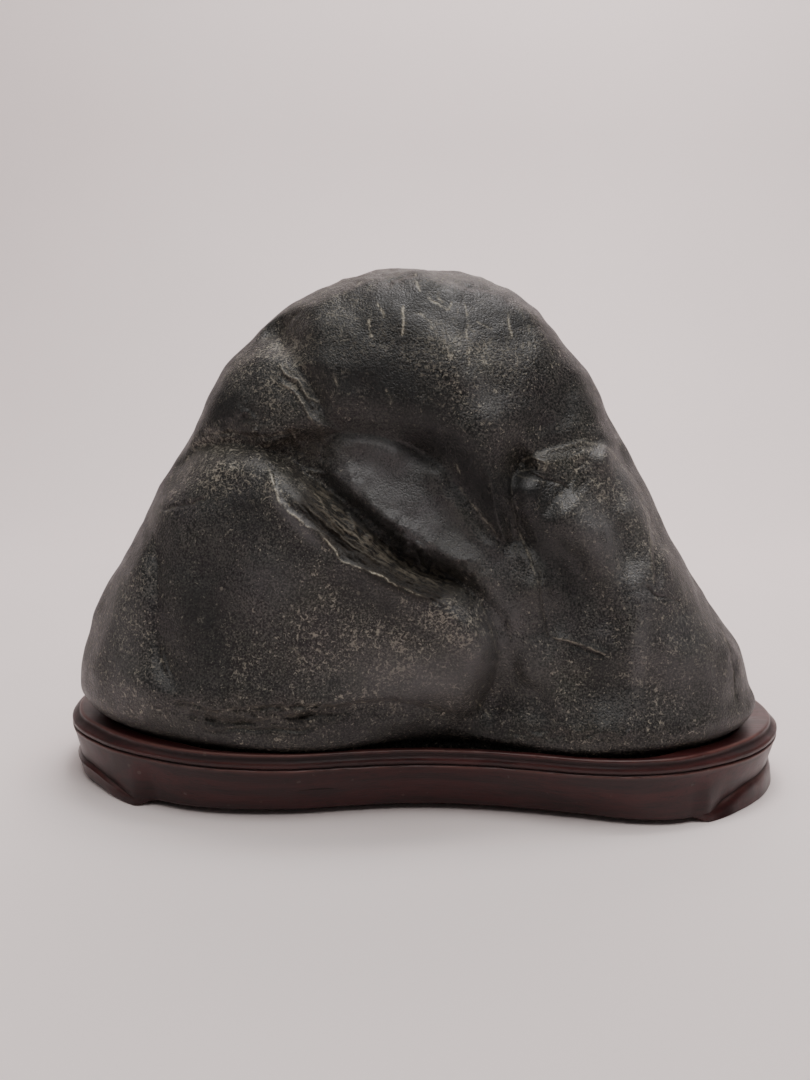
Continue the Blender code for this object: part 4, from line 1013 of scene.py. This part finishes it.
wood, tree, shader, place = start_skin("oiled_rosewood")
bent = jolted(place, 14.0, 0.006)
bands = cloud(stretched(bent, (9.0, 95.0, 150.0)), 1.0, 3.0, 0.6)
streaks = cloud(stretched(bent, (38.0, 900.0, 900.0)), 1.0, 3.0, 0.6)
pores = cloud(stretched(place, (170.0, 2600.0, 2600.0)), 1.0, 1.0)
smudge = cloud(place, 45.0, 3.0, 0.6)
WOOD_RED, WOOD_DARK = (0.043, 0.0080, 0.0084, 1), (0.022, 0.0062, 0.0066, 1)
WOOD_BLACK_AND_SHADE, WOOD_RUBBED_AND_HIGHLIGHT = (0.008, 0.004, 0.004, 1), (0.140, 0.055, 0.046, 1)
WOOD_DUST = (0.20, 0.17, 0.15, 1)
colour = blend(between(bands, 0.36, 0.62), WOOD_RED, WOOD_DARK)
colour = blend(between(streaks, 0.5, 0.72, 0.0, 0.65), colour, WOOD_BLACK_AND_SHADE)
colour = blend(between(pores, 0.60, 0.70, 0.0, 0.5), colour, WOOD_BLACK_AND_SHADE)
# Painted highlight: the edges that catch the light are painted paler, partly as real rubbing of the
# wood.
rub_and_highlight = times(painted("rubbed_edge_and_highlight"), between(smudge, 0.35, 0.62, 0.15, 0.75))
colour = blend(rub_and_highlight, colour, WOOD_RUBBED_AND_HIGHLIGHT)
# Painted shade: the grooves, the floor of the seat and the underside are darkened towards black.
colour = blend(times(painted("painted_recess_shade"), 0.8), colour, WOOD_BLACK_AND_SHADE)
dust = use(specks, Place=place, Cells_per_Metre=420.0, Share=0.05)["Mask"]
marks = use(scratches, Place=place, Curls_per_Metre=60.0, Width=0.006, Share=0.12)["Mask"]
dirt = maths("MAXIMUM", dust, times(marks, 0.5))
colour = blend(times(dirt, 0.2), colour, WOOD_DUST)
join(colour, shader.inputs["Base Color"])
shader.inputs["Specular IOR Level"].default_value = 0.36
satin = between(smudge, 0.3, 0.7, 0.29, 0.42)
satin = maths("MULTIPLY_ADD", painted("painted_recess_shade"), 0.25, satin)
join(maths("MULTIPLY_ADD", dirt, 0.2, satin), shader.inputs["Roughness"])
height = maths("MULTIPLY_ADD", streaks, 0.6, times(pores, 0.5))
emboss(shader, height, 0.35, 0.0003)

carved_stand = set_out("carved_stand", stand_mesh(), wood)
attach(carved_stand, "root")
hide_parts("stand")

# ------------------------------------------------------- the floor and what is behind
# A plain sheet of pale paper under the object, which rises in a wide curve some way
# behind it. It is not part of the object.
FLOOR_HALF_WIDTH, FLOOR_FRONT, FLOOR_BACK = 2.6, -2.4, 0.55
FLOOR_CURVE, FLOOR_RISE = 0.45, 1.2


def floor_mesh():
    bm = bmesh.new()
    bend = np.linspace(0, pi / 2, 20)
    profile = [(FLOOR_FRONT, 0.0),
               *zip(FLOOR_BACK + FLOOR_CURVE * np.sin(bend), FLOOR_CURVE * (1 - np.cos(bend))),
               (FLOOR_BACK + FLOOR_CURVE, FLOOR_CURVE + FLOOR_RISE)]
    rows = [[bm.verts.new((side * FLOOR_HALF_WIDTH, y, z)) for side in (-1, 1)] for y, z in profile]
    for (a, b), (c, d) in zip(rows, rows[1:]):
        bm.faces.new((a, b, d, c))
    return finished_mesh("paper_floor", bm, {})


paper, tree, shader, place = start_skin("pale_paper")
fibre = cloud(place, 420.0, 3.0, 0.6)
cloudy = cloud(place, 3.0, 2.0)
PAPER, PAPER_SHADE = (0.93, 0.835, 0.825, 1), (0.90, 0.805, 0.795, 1)
join(blend(between(cloudy, 0.3, 0.7), PAPER, PAPER_SHADE), shader.inputs["Base Color"])
join(between(fibre, 0.3, 0.7, 0.70, 0.85), shader.inputs["Roughness"])
floor = set_out("paper_floor", floor_mesh(), paper)

# ------------------------------------------------------------------ the lights
# One broad soft lamp hangs overhead, a little to the right, a weaker one fills from
# the left, and one lights the paper behind. The room in front is dim.
LAMPS = (((0.18, -0.30, 1.20), (0.0, 0.0, 0.1), 1.1, 12.0, (1.0, 0.98, 0.96)),
         ((-0.75, -0.45, 0.95), (0.0, 0.0, 0.1), 0.6, 1.8, (1.0, 0.97, 0.94)),
         ((0.25, 0.35, 1.60), (0.1, 1.3, 0.80), 0.8, 24.0, (1.0, 0.95, 0.945)))
for number, (spot, aim, size, power, tone) in enumerate(LAMPS):
    lamp = bpy.data.lights.new("lamp_%d" % number, "AREA")
    lamp.size, lamp.energy, lamp.color = size, power, tone
    hung = bpy.data.objects.new("lamp_%d" % number, lamp)
    bpy.context.scene.collection.objects.link(hung)
    hung.location = spot
    hung.rotation_euler = (Vector(aim) - Vector(spot)).to_track_quat("-Z", "Y").to_euler()
ROOM_GLOW, SEEN_GLOW = 0.105, 0.66
sky = bpy.data.worlds.new("dim_room")
sky.use_nodes = True
tree = sky.node_tree
glow = tree.nodes["Background"]
glow.inputs[0].default_value = (0.92, 0.90, 0.89, 1)
seen = tree.nodes.new("ShaderNodeLightPath").outputs["Is Camera Ray"]
join(maths("MULTIPLY_ADD", seen, SEEN_GLOW - ROOM_GLOW, ROOM_GLOW), glow.inputs[1])
bpy.context.scene.world = sky

# ------------------------------------------------------------------ the camera
# It stands a little above the crown of the stone and looks slightly down.
lens = bpy.data.cameras.new("camera")
lens.sensor_width, lens.lens = 36.0, 38.0
camera = bpy.data.objects.new("camera", lens)
camera.matrix_world = (Matrix.Translation((-0.0115, -0.531, 0.2138))
                       @ Matrix.Rotation(radians(79.2), 4, "X")
                       @ Matrix.Rotation(radians(1.2), 4, "Z"))
bpy.context.scene.collection.objects.link(camera)
bpy.context.scene.camera = camera
